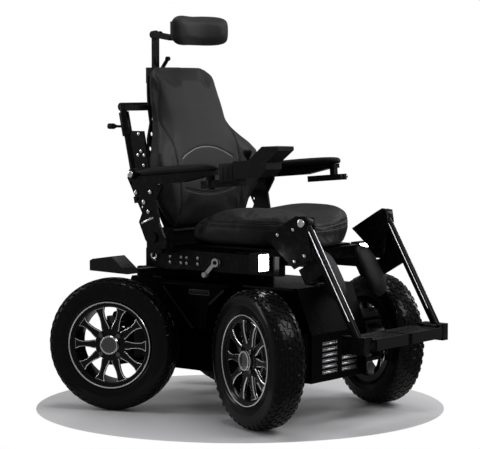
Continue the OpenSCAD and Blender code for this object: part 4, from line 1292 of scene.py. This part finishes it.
@dataclass
class Seating:
    """Seat, back, head rest, arm pads and calf pads, with their sewn detail.

    The side seam of the back is given by distances up the lean and from the middle.
    """

    finishes: Finishes
    lean: float = 12.5
    back_x: float = -0.238015
    back_z: float = 0.535
    arc_half: float = 0.122
    arc_top: float = 0.259
    arc_foot: float = 0.112
    arc_drop: float = 0.036
    foot_share: float = 0.5
    arc_steps: int = 20
    seam: Pairs = ((0.050, 0.146), (0.220, 0.152), (0.340, 0.160), (0.498, 0.130))
    seam_steps: int = 60
    seam_width: float = 0.0035
    seam_depth: float = 0.0024
    seam_lift: float = 0.0004
    thread_r: float = 0.0015
    from_front: float = 0.35
    piping_rows: Pair = (0.60, 0.74)
    piping_dip: float = 0.20
    piping_points: int = 120
    piping_width: float = 0.004
    piping_depth: float = 0.0022
    piping_lift: float = 0.0006
    piping_r: float = 0.0016
    from_outside: float = 0.6
    cord_sides: int = 8

    def on_back(self, out: float, y: float, up: float) -> Vector:
        """A point given on the leaning back.

        Args:
            out: Distance out of the back.
            y: Distance to the left.
            up: Distance up the lean.

        Returns:
            The point in the frame.
        """
        turn = math.radians(self.lean)
        return Vector((
            self.back_x + out * math.cos(turn) - up * math.sin(turn),
            y,
            self.back_z + out * math.sin(turn) + up * math.cos(turn),
        ))

    def seam_y(self, up: float) -> float:
        """How far a side seam of the back lies from the middle.

        Args:
            up: Distance up the lean.

        Returns:
            The distance in metres.
        """
        for (low, first), (high, second) in zip(self.seam, self.seam[1:]):
            if up <= high:
                share = max(0.0, (up - low) / (high - low))
                eased = share * share * (3.0 - 2.0 * share)
                return first + (second - first) * eased
        return self.seam[-1][1]

    def seat(self) -> None:
        """Builds the seat cushion with its two rows of edge piping."""
        look = self.finishes
        made = Padding(
            "seat_cushion", "seat_cover", "seat", "leather", look.leather, (0.0, 0.0, -1.0), most=0.012
        ).build()
        cover = Cover(made)
        low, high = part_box("seat_cushion")
        middle = (low[0] + high[0]) / 2
        loops = []
        for share in self.piping_rows:
            path = []
            for i in range(self.piping_points):
                turn = math.tau * i / self.piping_points
                way = Vector((math.cos(turn), math.sin(turn), 0.0))
                ahead = max(0.0, way.x) ** 3
                z = low[2] + (high[2] - low[2]) * (share - self.piping_dip * ahead * share)
                path.append(cover.hit(Vector((middle, 0.0, z)) + way * self.from_outside, -way))
            loops.append([p for p in path if p is not None])
        cover.press([loop + loop[:1] for loop in loops], self.piping_width, self.piping_depth)
        cover = Cover(made)
        shape = Shape()
        for loop in loops:
            shape.tube(cover.lifted(loop, self.piping_lift), self.piping_r, self.cord_sides, closed=True)
        shape.piece("seat_piping", [look.leather], "seat", slot="leather")

    def back(self) -> None:
        """Builds the back cushion with its side seams and the arcs over the lumbar swell."""
        look = self.finishes
        rests = tuple(self.on_back(-1.0, 0.0, 0.0) - self.on_back(0.0, 0.0, 0.0))
        into = self.on_back(0.0, 0.0, 0.0) - self.on_back(1.0, 0.0, 0.0)
        made = Padding(
            "back_cushion", "back_cover", "back", "leather", look.leather, rests, most=0.010
        ).build()
        cover = Cover(made)

        def front(y: float, up: float) -> Optional[Vector]:
            """The point on the front of the cover at a height up the lean."""
            return cover.hit(self.on_back(self.from_front, y, up), into)

        arcs = []
        for upper in (True, False):
            path = []
            for i in range(2 * self.arc_steps + 1):
                y = self.arc_half * (i / self.arc_steps - 1.0)
                drop = self.arc_drop * (y / self.arc_half) ** 2
                up = self.arc_top - drop if upper else self.arc_foot + drop * self.foot_share
                path.append(front(y, up))
            arcs.append([p for p in path if p is not None])
        sides = []
        for side in SIDES:
            path = []
            for i in range(self.seam_steps + 1):
                up = self.seam[0][0] + (self.seam[-1][0] - self.seam[0][0]) * i / self.seam_steps
                path.append(front(side * self.seam_y(up), up))
            sides.append([p for p in path if p is not None])
        cover.press(arcs + sides, self.seam_width, self.seam_depth)
        cover = Cover(made)
        bright = Shape()
        bright.tube(cover.lifted(arcs[0], self.seam_lift), self.thread_r, self.cord_sides)
        bright.piece("back_stitching", [look.thread], "back", slot="leather")
        dark = Shape()
        for path in sides + arcs[1:]:
            dark.tube(cover.lifted(path, self.seam_lift), self.piping_r, self.cord_sides)
        dark.piece("back_piping", [look.leather], "back", slot="leather")

    def head(self) -> None:
        """Builds the head-rest pad."""
        Padding(
            "headrest_pad", "headrest_cover", "head_pad", "leather", self.finishes.leather,
            (-1.0, 0.0, 0.0), voxel=0.004, most=0.006, shrink=0.002,
        ).build()

    def small_pads(self) -> None:
        """Builds the arm pads and the calf pads."""
        look = self.finishes
        for side in SIDE_NAMES:
            Padding(
                "arm_pad_" + side, "arm_cover_" + side, "arm_" + side, "pad", look.pad_skin,
                (0.0, 0.0, -1.0), voxel=0.004, most=0.002, shrink=0.0015, pressure=2.0,
            ).build()
            Padding(
                "calf_pad_" + side, "calf_cover_" + side, "leg_" + side, "pad", look.pad_skin,
                (-0.866, 0.0, -0.5), voxel=0.004, most=0.004, shrink=0.002,
            ).build()

    def build(self) -> None:
        """Builds every padded piece."""
        self.seat()
        self.back()
        self.head()
        self.small_pads()


@dataclass
class BackGapSheet:
    """A thin dark sheet that closes the space between the foot of the back and the rear of the seat, so
    that the gap shows dark.

    Its line runs from the top to the foot, by X and Z.
    """

    finishes: Finishes
    half: float = 0.212
    thickness: float = 0.003
    taper: float = 0.11
    ease: float = 0.0008
    line: Pairs = (
        (-0.2420, 0.5600), (-0.2455, 0.5520), (-0.2500, 0.5440), (-0.2548, 0.5360), (-0.2594, 0.5280),
        (-0.2636, 0.5200), (-0.2672, 0.5100), (-0.2700, 0.5004),
    )
    still_foot: float = 0.006
    still_top: float = 0.012

    def build(self) -> None:
        """Builds the sheet."""
        shape = Shape()
        near = [Vector((x, -self.half, z)) for x, z in self.line]
        wall = Vector((self.thickness, 0.0, 0.0))
        outline = near + [point + wall for point in reversed(near)]
        shape.slab(outline, (0.0, 2 * self.half, 0.0), bevel=self.ease, steps=1)
        low, high = near[-1], near[0]
        for vert in shape.bm.verts:
            vert.co.y *= 1.0 - self.taper * (vert.co.z - low.z) / (high.z - low.z)
        # The near-black sheet is there to make the gap dark.
        shape.piece(
            "back_gap_sheet", [self.finishes.pad_skin], "seat", slot="plastic",
            bends=("back", (0.0, 0.0, low.z + self.still_foot), (0.0, 0.0, high.z - self.still_top)),
        )


@dataclass
class RubberStrip:
    """The section of the rubber strips on the body panels."""

    width: float = 0.007
    proud: float = 0.0016
    ease: float = 0.0009
    steps: int = 3


@dataclass
class RearTrim:
    """Rubber strips round the rear cover, with ribs and corner screws inside them."""

    finishes: Finishes
    face: float = -0.450
    low: float = 0.130
    high: float = 0.318
    half: float = 0.126
    screw_in: float = 0.018
    screw_r: float = 0.0055
    screw_h: float = 0.004
    rib_rows: int = 5
    rib_z: float = 0.184
    rib_pitch: float = 0.020
    rib_half: float = 0.070
    rib_half_h: float = 0.004
    rib_t: float = 0.003
    rib_ease: float = 0.002

    def strips(self, shape: Shape) -> None:
        """Lays a strip along each edge of the cover.

        Args:
            shape: The mesh that the strips are added to.
        """
        strip = RubberStrip()
        edge = strip.width / 2
        outer = self.face - strip.proud
        inner = self.face + strip.proud
        for z in (self.low, self.high):
            shape.box((outer, -self.half, z - edge), (inner, self.half, z + edge), strip.ease, strip.steps)
        for side in SIDES:
            y = side * self.half
            shape.box((outer, y - edge, self.low), (inner, y + edge, self.high), strip.ease, strip.steps)

    def screws(self, shape: Shape) -> None:
        """Sets a screw in each corner.

        Args:
            shape: The mesh that the screws are added to.
        """
        for side in SIDES:
            for z in (self.low + self.screw_in, self.high - self.screw_in):
                where = (self.face, side * (self.half - self.screw_in), z)
                shape.bolt(where, (-1.0, 0.0, 0.0), self.screw_r, self.screw_h, material=1)

    def ribs(self, shape: Shape) -> None:
        """Sets a stack of level ribs on the cover.

        Args:
            shape: The mesh that the ribs are added to.
        """
        inner = self.face + RubberStrip().proud
        for row in range(self.rib_rows):
            z = self.rib_z + row * self.rib_pitch
            low = (self.face - self.rib_t, -self.rib_half, z - self.rib_half_h)
            high = (inner, self.rib_half, z + self.rib_half_h)
            shape.box(low, high, self.rib_ease, steps=3)

    def build(self) -> None:
        """Builds the strips, screws and ribs as one piece."""
        shape = Shape()
        self.strips(shape)
        self.screws(shape)
        self.ribs(shape)
        shape.piece("rear_trim", [self.finishes.pad_skin, self.finishes.steel], "base", slot="plastic")


@dataclass
class DeckWall:
    """A low wall round the rear and both sides of the deck under the seat."""

    finishes: Finishes
    rear: float = -0.400
    front: float = -0.060
    half: float = 0.136
    base: float = 0.3945
    height: float = 0.033
    thickness: float = 0.014
    ease: float = 0.004

    def build(self) -> None:
        """Builds the wall."""
        inner = self.half - self.thickness
        inner_rear = self.rear + self.thickness
        outline = (
            (self.front, self.half), (self.rear, self.half),
            (self.rear, -self.half), (self.front, -self.half),
            (self.front, -inner), (inner_rear, -inner),
            (inner_rear, inner), (self.front, inner),
        )
        shape = Shape()
        corners = [Vector((x, y, self.base)) for x, y in outline]
        shape.slab(corners, (0.0, 0.0, self.height), bevel=self.ease, steps=3)
        shape.piece("deck_wall", [self.finishes.panel], "base", slot="panel")


@dataclass
class EdgeStrips:
    """Rubber strips along the sloping edges and the top edge of each side panel.

    A run has the X and Z of its start and of its end, and its face's distance from the middle.
    """

    finishes: Finishes
    runs: tuple[tuple[Pair, Pair, float], ...] = (
        ((-0.2330, 0.3790), (-0.1140, 0.2566), 0.2000),
        ((-0.0510, 0.3340), (0.0080, 0.3815), 0.2000),
        ((0.0300, 0.3910), (0.2240, 0.3910), 0.1400),
    )

    def build(self) -> None:
        """Lays the strips, each from its start to its end on its face of the panel."""
        strip = RubberStrip()
        half = strip.width / 2
        shape = Shape()
        for side in SIDES:
            for (x0, z0), (x1, z1), face in self.runs:
                run = Vector((x1 - x0, z1 - z0))
                place = Matrix.Translation((x0, side * face, z0)) @ climb(run)
                low = (0.0, -strip.proud, -half)
                high = (run.length, strip.proud, half)
                shape.box(low, high, strip.ease, strip.steps, place=place)
        shape.piece("edge_strips", [self.finishes.pad_skin], "base", slot="plastic")


@dataclass
class Louvres:
    """A bright blade and a thin frame in each slot of the front cover."""

    finishes: Finishes
    cover_front: float = 0.289985
    low_z: float = 0.142
    pitch: float = 0.017
    rows: int = 6
    slot_w: float = 0.074
    slot_h: float = 0.008
    slot_in: float = 0.012
    slot_gap: float = 0.0006
    blade_in: float = 0.001
    blade_turn: float = 0.6
    blade_rear: float = 0.0035
    blade_front: float = 0.0030
    blade_half: float = 0.0011
    blade_ease: float = 0.0005
    rail_in: float = 0.0002
    rail_out: float = 0.0012
    rail_over: float = 0.002
    rail_half: float = 0.0009
    rail_ease: float = 0.0004

    def slot(self, shape: Shape, y: float, z: float) -> None:
        """Fills one slot.

        Args:
            shape: The mesh that the blade and the frame are added to.
            y: The slot's middle across the cover.
            z: The slot's middle height.
        """
        half = self.slot_w / 2 - self.slot_gap
        blade = Matrix.Translation((self.cover_front - self.blade_in, y, z))
        blade = blade @ Matrix.Rotation(self.blade_turn, 4, "Y")
        low = (-self.blade_rear, -half, -self.blade_half)
        high = (self.blade_front, half, self.blade_half)
        shape.box(low, high, self.blade_ease, place=blade)
        for way in BOTH_WAYS:
            middle = z + way * self.slot_h / 2
            low = (self.cover_front - self.rail_in, y - half - self.rail_over, middle - self.rail_half)
            high = (self.cover_front + self.rail_out, y + half + self.rail_over, middle + self.rail_half)
            shape.box(low, high, self.rail_ease)

    def build(self) -> None:
        """Fills every slot."""
        shape = Shape()
        for row in range(self.rows):
            z = self.low_z + row * self.pitch + self.slot_h / 2
            for side in SIDES:
                self.slot(shape, side * (self.slot_in + self.slot_w / 2), z)
        shape.piece("front_louvres", [self.finishes.steel], "base", slot="steel")


@dataclass
class Badges:
    """A plain plate with a raised rim on each side of the body."""

    finishes: Finishes
    face: float = 0.200
    rear: float = -0.128
    front: float = -0.048
    low: float = 0.361
    high: float = 0.377
    plate_t: float = 0.0016
    plate_ease: float = 0.0006
    rim_w: float = 0.0018
    rim_t: float = 0.0026
    rim_ease: float = 0.0005

    def build(self) -> None:
        """Builds both plates."""
        rear, front, low, high, rim = self.rear, self.front, self.low, self.high, self.rim_w
        edges = (
            (rear, low, front, low + rim), (rear, high - rim, front, high),
            (rear, low, rear + rim, high), (front - rim, low, front, high),
        )
        shape = Shape()
        for side in SIDES:
            face = side * self.face
            near, far = sorted((face, face + side * self.plate_t))
            shape.box((rear, near, low), (front, far, high), self.plate_ease)
            near, far = sorted((face, face + side * self.rim_t))
            for x0, z0, x1, z1 in edges:
                shape.box((x0, near, z0), (x1, far, z1), self.rim_ease, material=1)
        shape.piece("badge_plates", [self.finishes.plastic, self.finishes.cast], "base", slot="panel")


@dataclass
class TailPads:
    """A grey ribbed pad on the slope of each tail arm."""

    finishes: Finishes
    width: float = 0.058
    edge: float = 0.004
    start: Pair = (0.086, 0.0)
    end: Pair = (0.137, 0.037)
    under: float = 0.0006
    proud: float = 0.0010
    ease: float = 0.0005
    ribs: int = 8
    rib_in: float = 0.007
    rib_half: float = 0.0018
    rib_h: float = 0.0022
    rib_ease: float = 0.0007

    def build(self) -> None:
        """Builds both pads."""
        low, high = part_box("tail_arms")
        shape = Shape()
        inner = high[1] - self.width - self.edge
        start = Vector((low[0] + self.start[0], 0.0, high[2] - self.start[1]))
        end = Vector((low[0] + self.end[0], 0.0, high[2] - self.end[1]))
        place = Matrix.Translation(start) @ climb((end - start).xz)
        run = (end - start).length
        for side in SIDES:
            near, far = sorted((side * inner, side * (inner + self.width)))
            first = (self.edge, near, -self.under)
            last = (run - self.edge, far, self.proud)
            shape.box(first, last, self.ease, place=place)
            for i in range(self.ribs):
                y = near + (far - near) * (i + 0.5) / self.ribs
                first = (self.rib_in, y - self.rib_half, 0.0)
                last = (run - self.rib_in, y + self.rib_half, self.rib_h)
                shape.box(first, last, self.rib_ease, place=place)
        shape.piece("tail_pads", [self.finishes.trim], "base", slot="plastic")


@dataclass
class Lamps:
    """Lit head-lamp lenses with four cells each."""

    finishes: Finishes
    inset: float = 0.0058
    edge: float = 0.004
    gap: float = 0.0004
    depth: float = 0.005
    ease: float = 0.003

    def build(self) -> None:
        """Builds both lenses in the recesses of the lamp bodies."""
        low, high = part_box("headlamps")
        shape = Shape()
        x = high[0] - self.inset
        half = (high[2] - low[2]) / 2 - self.edge - self.gap
        cell = half / 2
        middle_z = (high[2] + low[2]) / 2
        for side in SIDES:
            middle_y = side * (high[1] - half - self.edge - self.gap)
            for row in BOTH_WAYS:
                for column in BOTH_WAYS:
                    y = middle_y + column * cell
                    z = middle_z + row * cell
                    first = (x, y - cell + self.gap, z - cell + self.gap)
                    last = (x + self.depth, y + cell - self.gap, z + cell - self.gap)
                    shape.box(first, last, self.ease, steps=3)
        shape.piece("lamp_lenses", [self.finishes.lit], "seat", slot="plastic")


@dataclass
class Fasteners:
    """Bright bolts on the frames, by the body that they ride on.

    Spots are given by X and Z, and a plate's spot also by its bolt's radius. Both sides have the same
    spots, and a knee's spots are measured from the knee.
    """

    finishes: Finishes
    plate_face: float = 0.278
    plate_spots: tuple[Triple, ...] = (
        (-0.272, 0.668, 0.0062), (-0.240, 0.640, 0.0068), (-0.214, 0.672, 0.0060), (-0.226, 0.703, 0.0052),
        (-0.190, 0.712, 0.0048), (-0.178, 0.700, 0.0048), (-0.222, 0.612, 0.0060),
    )
    plate_head: float = 0.005
    gusset_face: float = 0.200
    gusset_spots: Pairs = (
        (-0.330, 0.844), (-0.309, 0.748), (-0.320, 0.791), (-0.307, 0.779), (-0.332, 0.779),
    )
    gusset_r: float = 0.0052
    small_head: float = 0.004
    band_spot: Pair = (-0.228, 0.585)
    band_turn: float = -0.38
    band_lift: float = 0.0004
    band_low: Triple = (-0.026, -0.0012, -0.0026)
    band_high: Triple = (0.026, 0.0022, 0.0026)
    band_ease: float = 0.0008
    rail_face: float = 0.215
    rail_columns: tuple[float, ...] = (-0.190, -0.146, -0.124, -0.080)
    rail_rows: tuple[float, ...] = (0.474, 0.456)
    rail_r: float = 0.0046
    eye_spot: Pair = (-0.252, 0.474)
    eye_out: float = 0.006
    eye_r: float = 0.010
    eye_wire: float = 0.0030
    eye_points: int = 24
    lug_low: Pair = (-0.259, 0.458)
    lug_high: Pair = (-0.245, 0.468)
    lug_out: float = 0.0005
    lug_ease: float = 0.0015
    knee_face: float = 0.221
    knee: Pair = (0.313985, 0.598)
    knee_r: float = 0.0120
    knee_head: float = 0.007
    knee_spots: Pairs = (
        (-0.030, -0.020), (-0.086, -0.038), (0.012, -0.094), (-0.024, -0.112),
    )
    knee_small_r: float = 0.0048
    hanger_y: float = 0.204
    hanger_r: float = 0.013
    hanger_lean: float = 30.0
    # The hanger strips below are painted highlights: bright lines that stand for the tube's reflections of
    # the lamps.
    strip: Pair = (0.030, 0.318)
    highlight_turns: Pair = (-0.35, 1.15)
    highlight_lift: float = 0.0003
    highlight_r: float = 0.0016
    highlight_steps: int = 8
    arm_cap: Triple = (-0.250015, 0.328, 0.727)
    arm_cap_r: float = 0.0105
    arm_cap_h: float = 0.005

    def plate_bolts(self) -> None:
        """Bolts on the slanted side plates and gussets of the back, and a clamp band on each plate."""
        shape = Shape()
        band_x, band_z = self.band_spot
        turn = Matrix.Rotation(self.band_turn, 4, "Y")
        for side in SIDES:
            way = (0.0, side, 0.0)
            for x, z, radius in self.plate_spots:
                shape.bolt((x, side * self.plate_face, z), way, radius, self.plate_head)
            for x, z in self.gusset_spots:
                shape.bolt((x, side * self.gusset_face, z), way, self.gusset_r, self.small_head)
            where = (band_x, side * (self.plate_face + self.band_lift), band_z)
            place = Matrix.Translation(where) @ turn
            shape.box(self.band_low, self.band_high, self.band_ease, place=place)
        shape.piece("plate_bolts", [self.finishes.chrome], "back", slot="chrome")

    def rail_bolts(self) -> None:
        """Two rows of bolts along the seat rails and a tie-down eye at the rear of each."""
        shape = Shape()
        eye = self.rail_face + self.eye_out
        eye_x, eye_z = self.eye_spot
        turns = [math.tau * k / self.eye_points for k in range(self.eye_points)]
        for side in SIDES:
            way = (0.0, side, 0.0)
            for x in self.rail_columns:
                for z in self.rail_rows:
                    where = (x, side * self.rail_face, z)
                    shape.bolt(where, way, self.rail_r, self.small_head, material=1)
            centre = Vector((eye_x, side * eye, eye_z))
            ring = [centre + Vector((math.cos(t), 0.0, math.sin(t))) * self.eye_r for t in turns]
            shape.tube(ring, self.eye_wire, sides=10, closed=True)
            inner, outer = sorted((side * self.rail_face, side * (eye + self.lug_out)))
            low = (self.lug_low[0], inner, self.lug_low[1])
            high = (self.lug_high[0], outer, self.lug_high[1])
            shape.box(low, high, self.lug_ease)
        shape.piece("rail_bolts", [self.finishes.chrome, self.finishes.steel], "seat", slot="chrome")

    def knee_bolts(self) -> None:
        """Bolts on the knee plates."""
        x, z = self.knee
        for name, side in SIDE_NAMES.items():
            shape = Shape()
            way = (0.0, side, 0.0)
            shape.bolt((x, side * self.knee_face, z), way, self.knee_r, self.knee_head)
            for along, up in self.knee_spots:
                where = (x + along, side * self.knee_face, z + up)
                shape.bolt(where, way, self.knee_small_r, self.small_head)
            shape.piece("knee_bolts_" + name, [self.finishes.chrome], "leg_" + name, slot="chrome")

    def hanger_highlight_strips(self) -> None:
        """Two bright strips, painted highlights, down the front and rear of each hanger tube."""
        x, z = self.knee
        lean = Matrix.Rotation(-math.radians(self.hanger_lean), 4, "Y")
        out = self.hanger_r + self.highlight_lift
        for name, side in SIDE_NAMES.items():
            shape = Shape()
            place = Matrix.Translation((x, side * self.hanger_y, z)) @ lean
            for turn in self.highlight_turns:
                across = Vector((math.cos(turn), RIGHT * math.sin(turn), 0.0)) * out
                start, end = [place @ (across + Vector((0.0, 0.0, -reach))) for reach in self.strip]
                path = [start.lerp(end, k / self.highlight_steps) for k in range(self.highlight_steps + 1)]
                # Each strip is a painted highlight in bright steel along the tube.
                shape.tube(path, self.highlight_r, sides=8)
            shape.piece("hanger_highlight_strips_" + name, [self.finishes.steel], "leg_" + name, slot="chrome")

    def arm_bolts(self) -> None:
        """Pivot caps of the arm rests."""
        x, y, z = self.arm_cap
        shape = Shape()
        for side in SIDES:
            shape.bolt((x, side * y, z), (0.0, side, 0.0), self.arm_cap_r, self.arm_cap_h)
        shape.piece("arm_caps", [self.finishes.chrome], "back", slot="chrome")

    def build(self) -> None:
        """Builds every set of bolts."""
        self.plate_bolts()
        self.rail_bolts()
        self.knee_bolts()
        self.hanger_highlight_strips()
        self.arm_bolts()


@dataclass
class Controls:
    """A plain dark screen on the joystick's hood, and a moulded sleeve on the arm that carries it."""

    finishes: Finishes
    hinge: Triple = (-0.250015, -0.304, 0.727)
    slope: float = 5.0
    foot: Pair = (0.465, 0.013)
    crest: Pair = (0.517, 0.049)
    half: float = 0.030
    border: float = 0.006
    screen_under: float = 0.0008
    screen_proud: float = 0.0009
    screen_ease: float = 0.0006
    sleeve_rear: float = 0.339
    sleeve_front: float = 0.409
    sleeve_low: float = -0.046
    sleeve_high: float = 0.010
    sleeve_half: float = 0.0235
    sleeve_ease: float = 0.006
    ring_shares: tuple[float, ...] = (0.25, 0.50, 0.75)
    ring_half: float = 0.002
    ring_proud: float = 0.0010
    ring_foot: float = 0.008
    ring_top: float = 0.010
    ring_ease: float = 0.0008

    def arm_place(self) -> Matrix:
        """The arm's own frame, with X along the sloped arm."""
        return Matrix.Translation(self.hinge) @ Matrix.Rotation(-math.radians(self.slope), 4, "Y")

    def sleeve(self) -> None:
        """Builds a sleeve with low rings round the joystick's arm, between the arm pad and the hood."""
        shape = Shape()
        place = self.arm_place()
        rear, front, half = self.sleeve_rear, self.sleeve_front, self.sleeve_half
        low = (rear, -half, self.sleeve_low)
        high = (front, half, self.sleeve_high)
        shape.box(low, high, self.sleeve_ease, steps=4, place=place)
        outer = half + self.ring_proud
        for share in self.ring_shares:
            middle = rear + share * (front - rear)
            low = (middle - self.ring_half, -outer, self.sleeve_low + self.ring_foot)
            high = (middle + self.ring_half, outer, self.sleeve_high - self.ring_top)
            shape.box(low, high, self.ring_ease, place=place)
        shape.piece("joystick_sleeve", [self.finishes.plastic], "joystick_pod", slot="plastic")

    def screen(self) -> None:
        """Builds the screen in the slope of the hood that faces the rider."""
        run = Vector(self.crest) - Vector(self.foot)
        place = self.arm_place() @ Matrix.Translation((self.foot[0], 0.0, self.foot[1])) @ climb(run)
        low = (self.border, -self.half, -self.screen_under)
        high = (run.length - self.border, self.half, self.screen_proud)
        shape = Shape()
        shape.box(low, high, self.screen_ease, place=place)
        shape.piece("control_screen", [self.finishes.glass], "joystick_pod", slot="plastic")

    def build(self) -> None:
        """Builds the sleeve and the screen."""
        self.sleeve()
        self.screen()


@dataclass
class Dressing:
    """Finishes and eased edges for the CAD nodes that stay in view."""

    finishes: Finishes
    eased: float = 0.0012
    eased_from: float = 40.0

    def _groups(self) -> dict[str, list[str]]:
        """The nodes of each finish.

        Returns:
            Node names by the name of a finish.
        """
        return {
            "paint": [
                "chassis_frame", "steering_forks", "tilt_actuator", "seat_frame", "back_frame",
                "push_frame", "headrest_stem", "headrest_link", "armrest_left", "armrest_right",
                "joystick_arm", "hanger_left", "hanger_right",
            ],
            "panel": ["side_panel_left", "side_panel_right", "front_cover", "rear_cover"],
            "plastic": [
                "tail_arms", "headlamps", "back_shell", "plunger_knob", "headrest_clamp_lever",
                "headrest_plate", "joystick_housing", "joystick_lever", "switch_box", "footplate_left",
                "footplate_right", "batteries",
            ],
            "cast": ["controller", "steering_motors"] + ["knuckle_" + corner for corner in CORNERS],
            "smoked": ["hub_" + corner for corner in CORNERS],
            "steel": ["release_lever", "tilt_rod", "joystick_gimbal", "power_button", "switch_toggle"],
            "red": ["tail_lenses"],
        }

    def build(self) -> None:
        """Gives every node its finish and eased edges."""
        for finish, names in self._groups().items():
            material = getattr(self.finishes, finish)
            for name in names:
                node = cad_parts[name]
                for place in node.material_slots:
                    place.material = material
                weld = node.modifiers.new("weld", "WELD")
                weld.merge_threshold = MERGE
                ease = node.modifiers.new("ease", "BEVEL")
                ease.width = self.eased
                ease.segments = 2
                ease.limit_method = "ANGLE"
                ease.angle_limit = math.radians(self.eased_from)
                ease.harden_normals = False
                LOG.info("%s dressed in %s", name, material.name)


def main() -> None:
    """Builds the scene in order."""
    logging.basicConfig(level=logging.INFO, format="%(name)s: %(message)s")
    Studio().build()
    finishes = Finishes.mixed()
    Dressing(finishes).build()
    Wheel(finishes).build()
    Seating(finishes).build()
    BackGapSheet(finishes).build()
    RearTrim(finishes).build()
    DeckWall(finishes).build()
    EdgeStrips(finishes).build()
    Louvres(finishes).build()
    Badges(finishes).build()
    TailPads(finishes).build()
    Lamps(finishes).build()
    Fasteners(finishes).build()
    Controls(finishes).build()


if __name__ == "__main__":
    main()
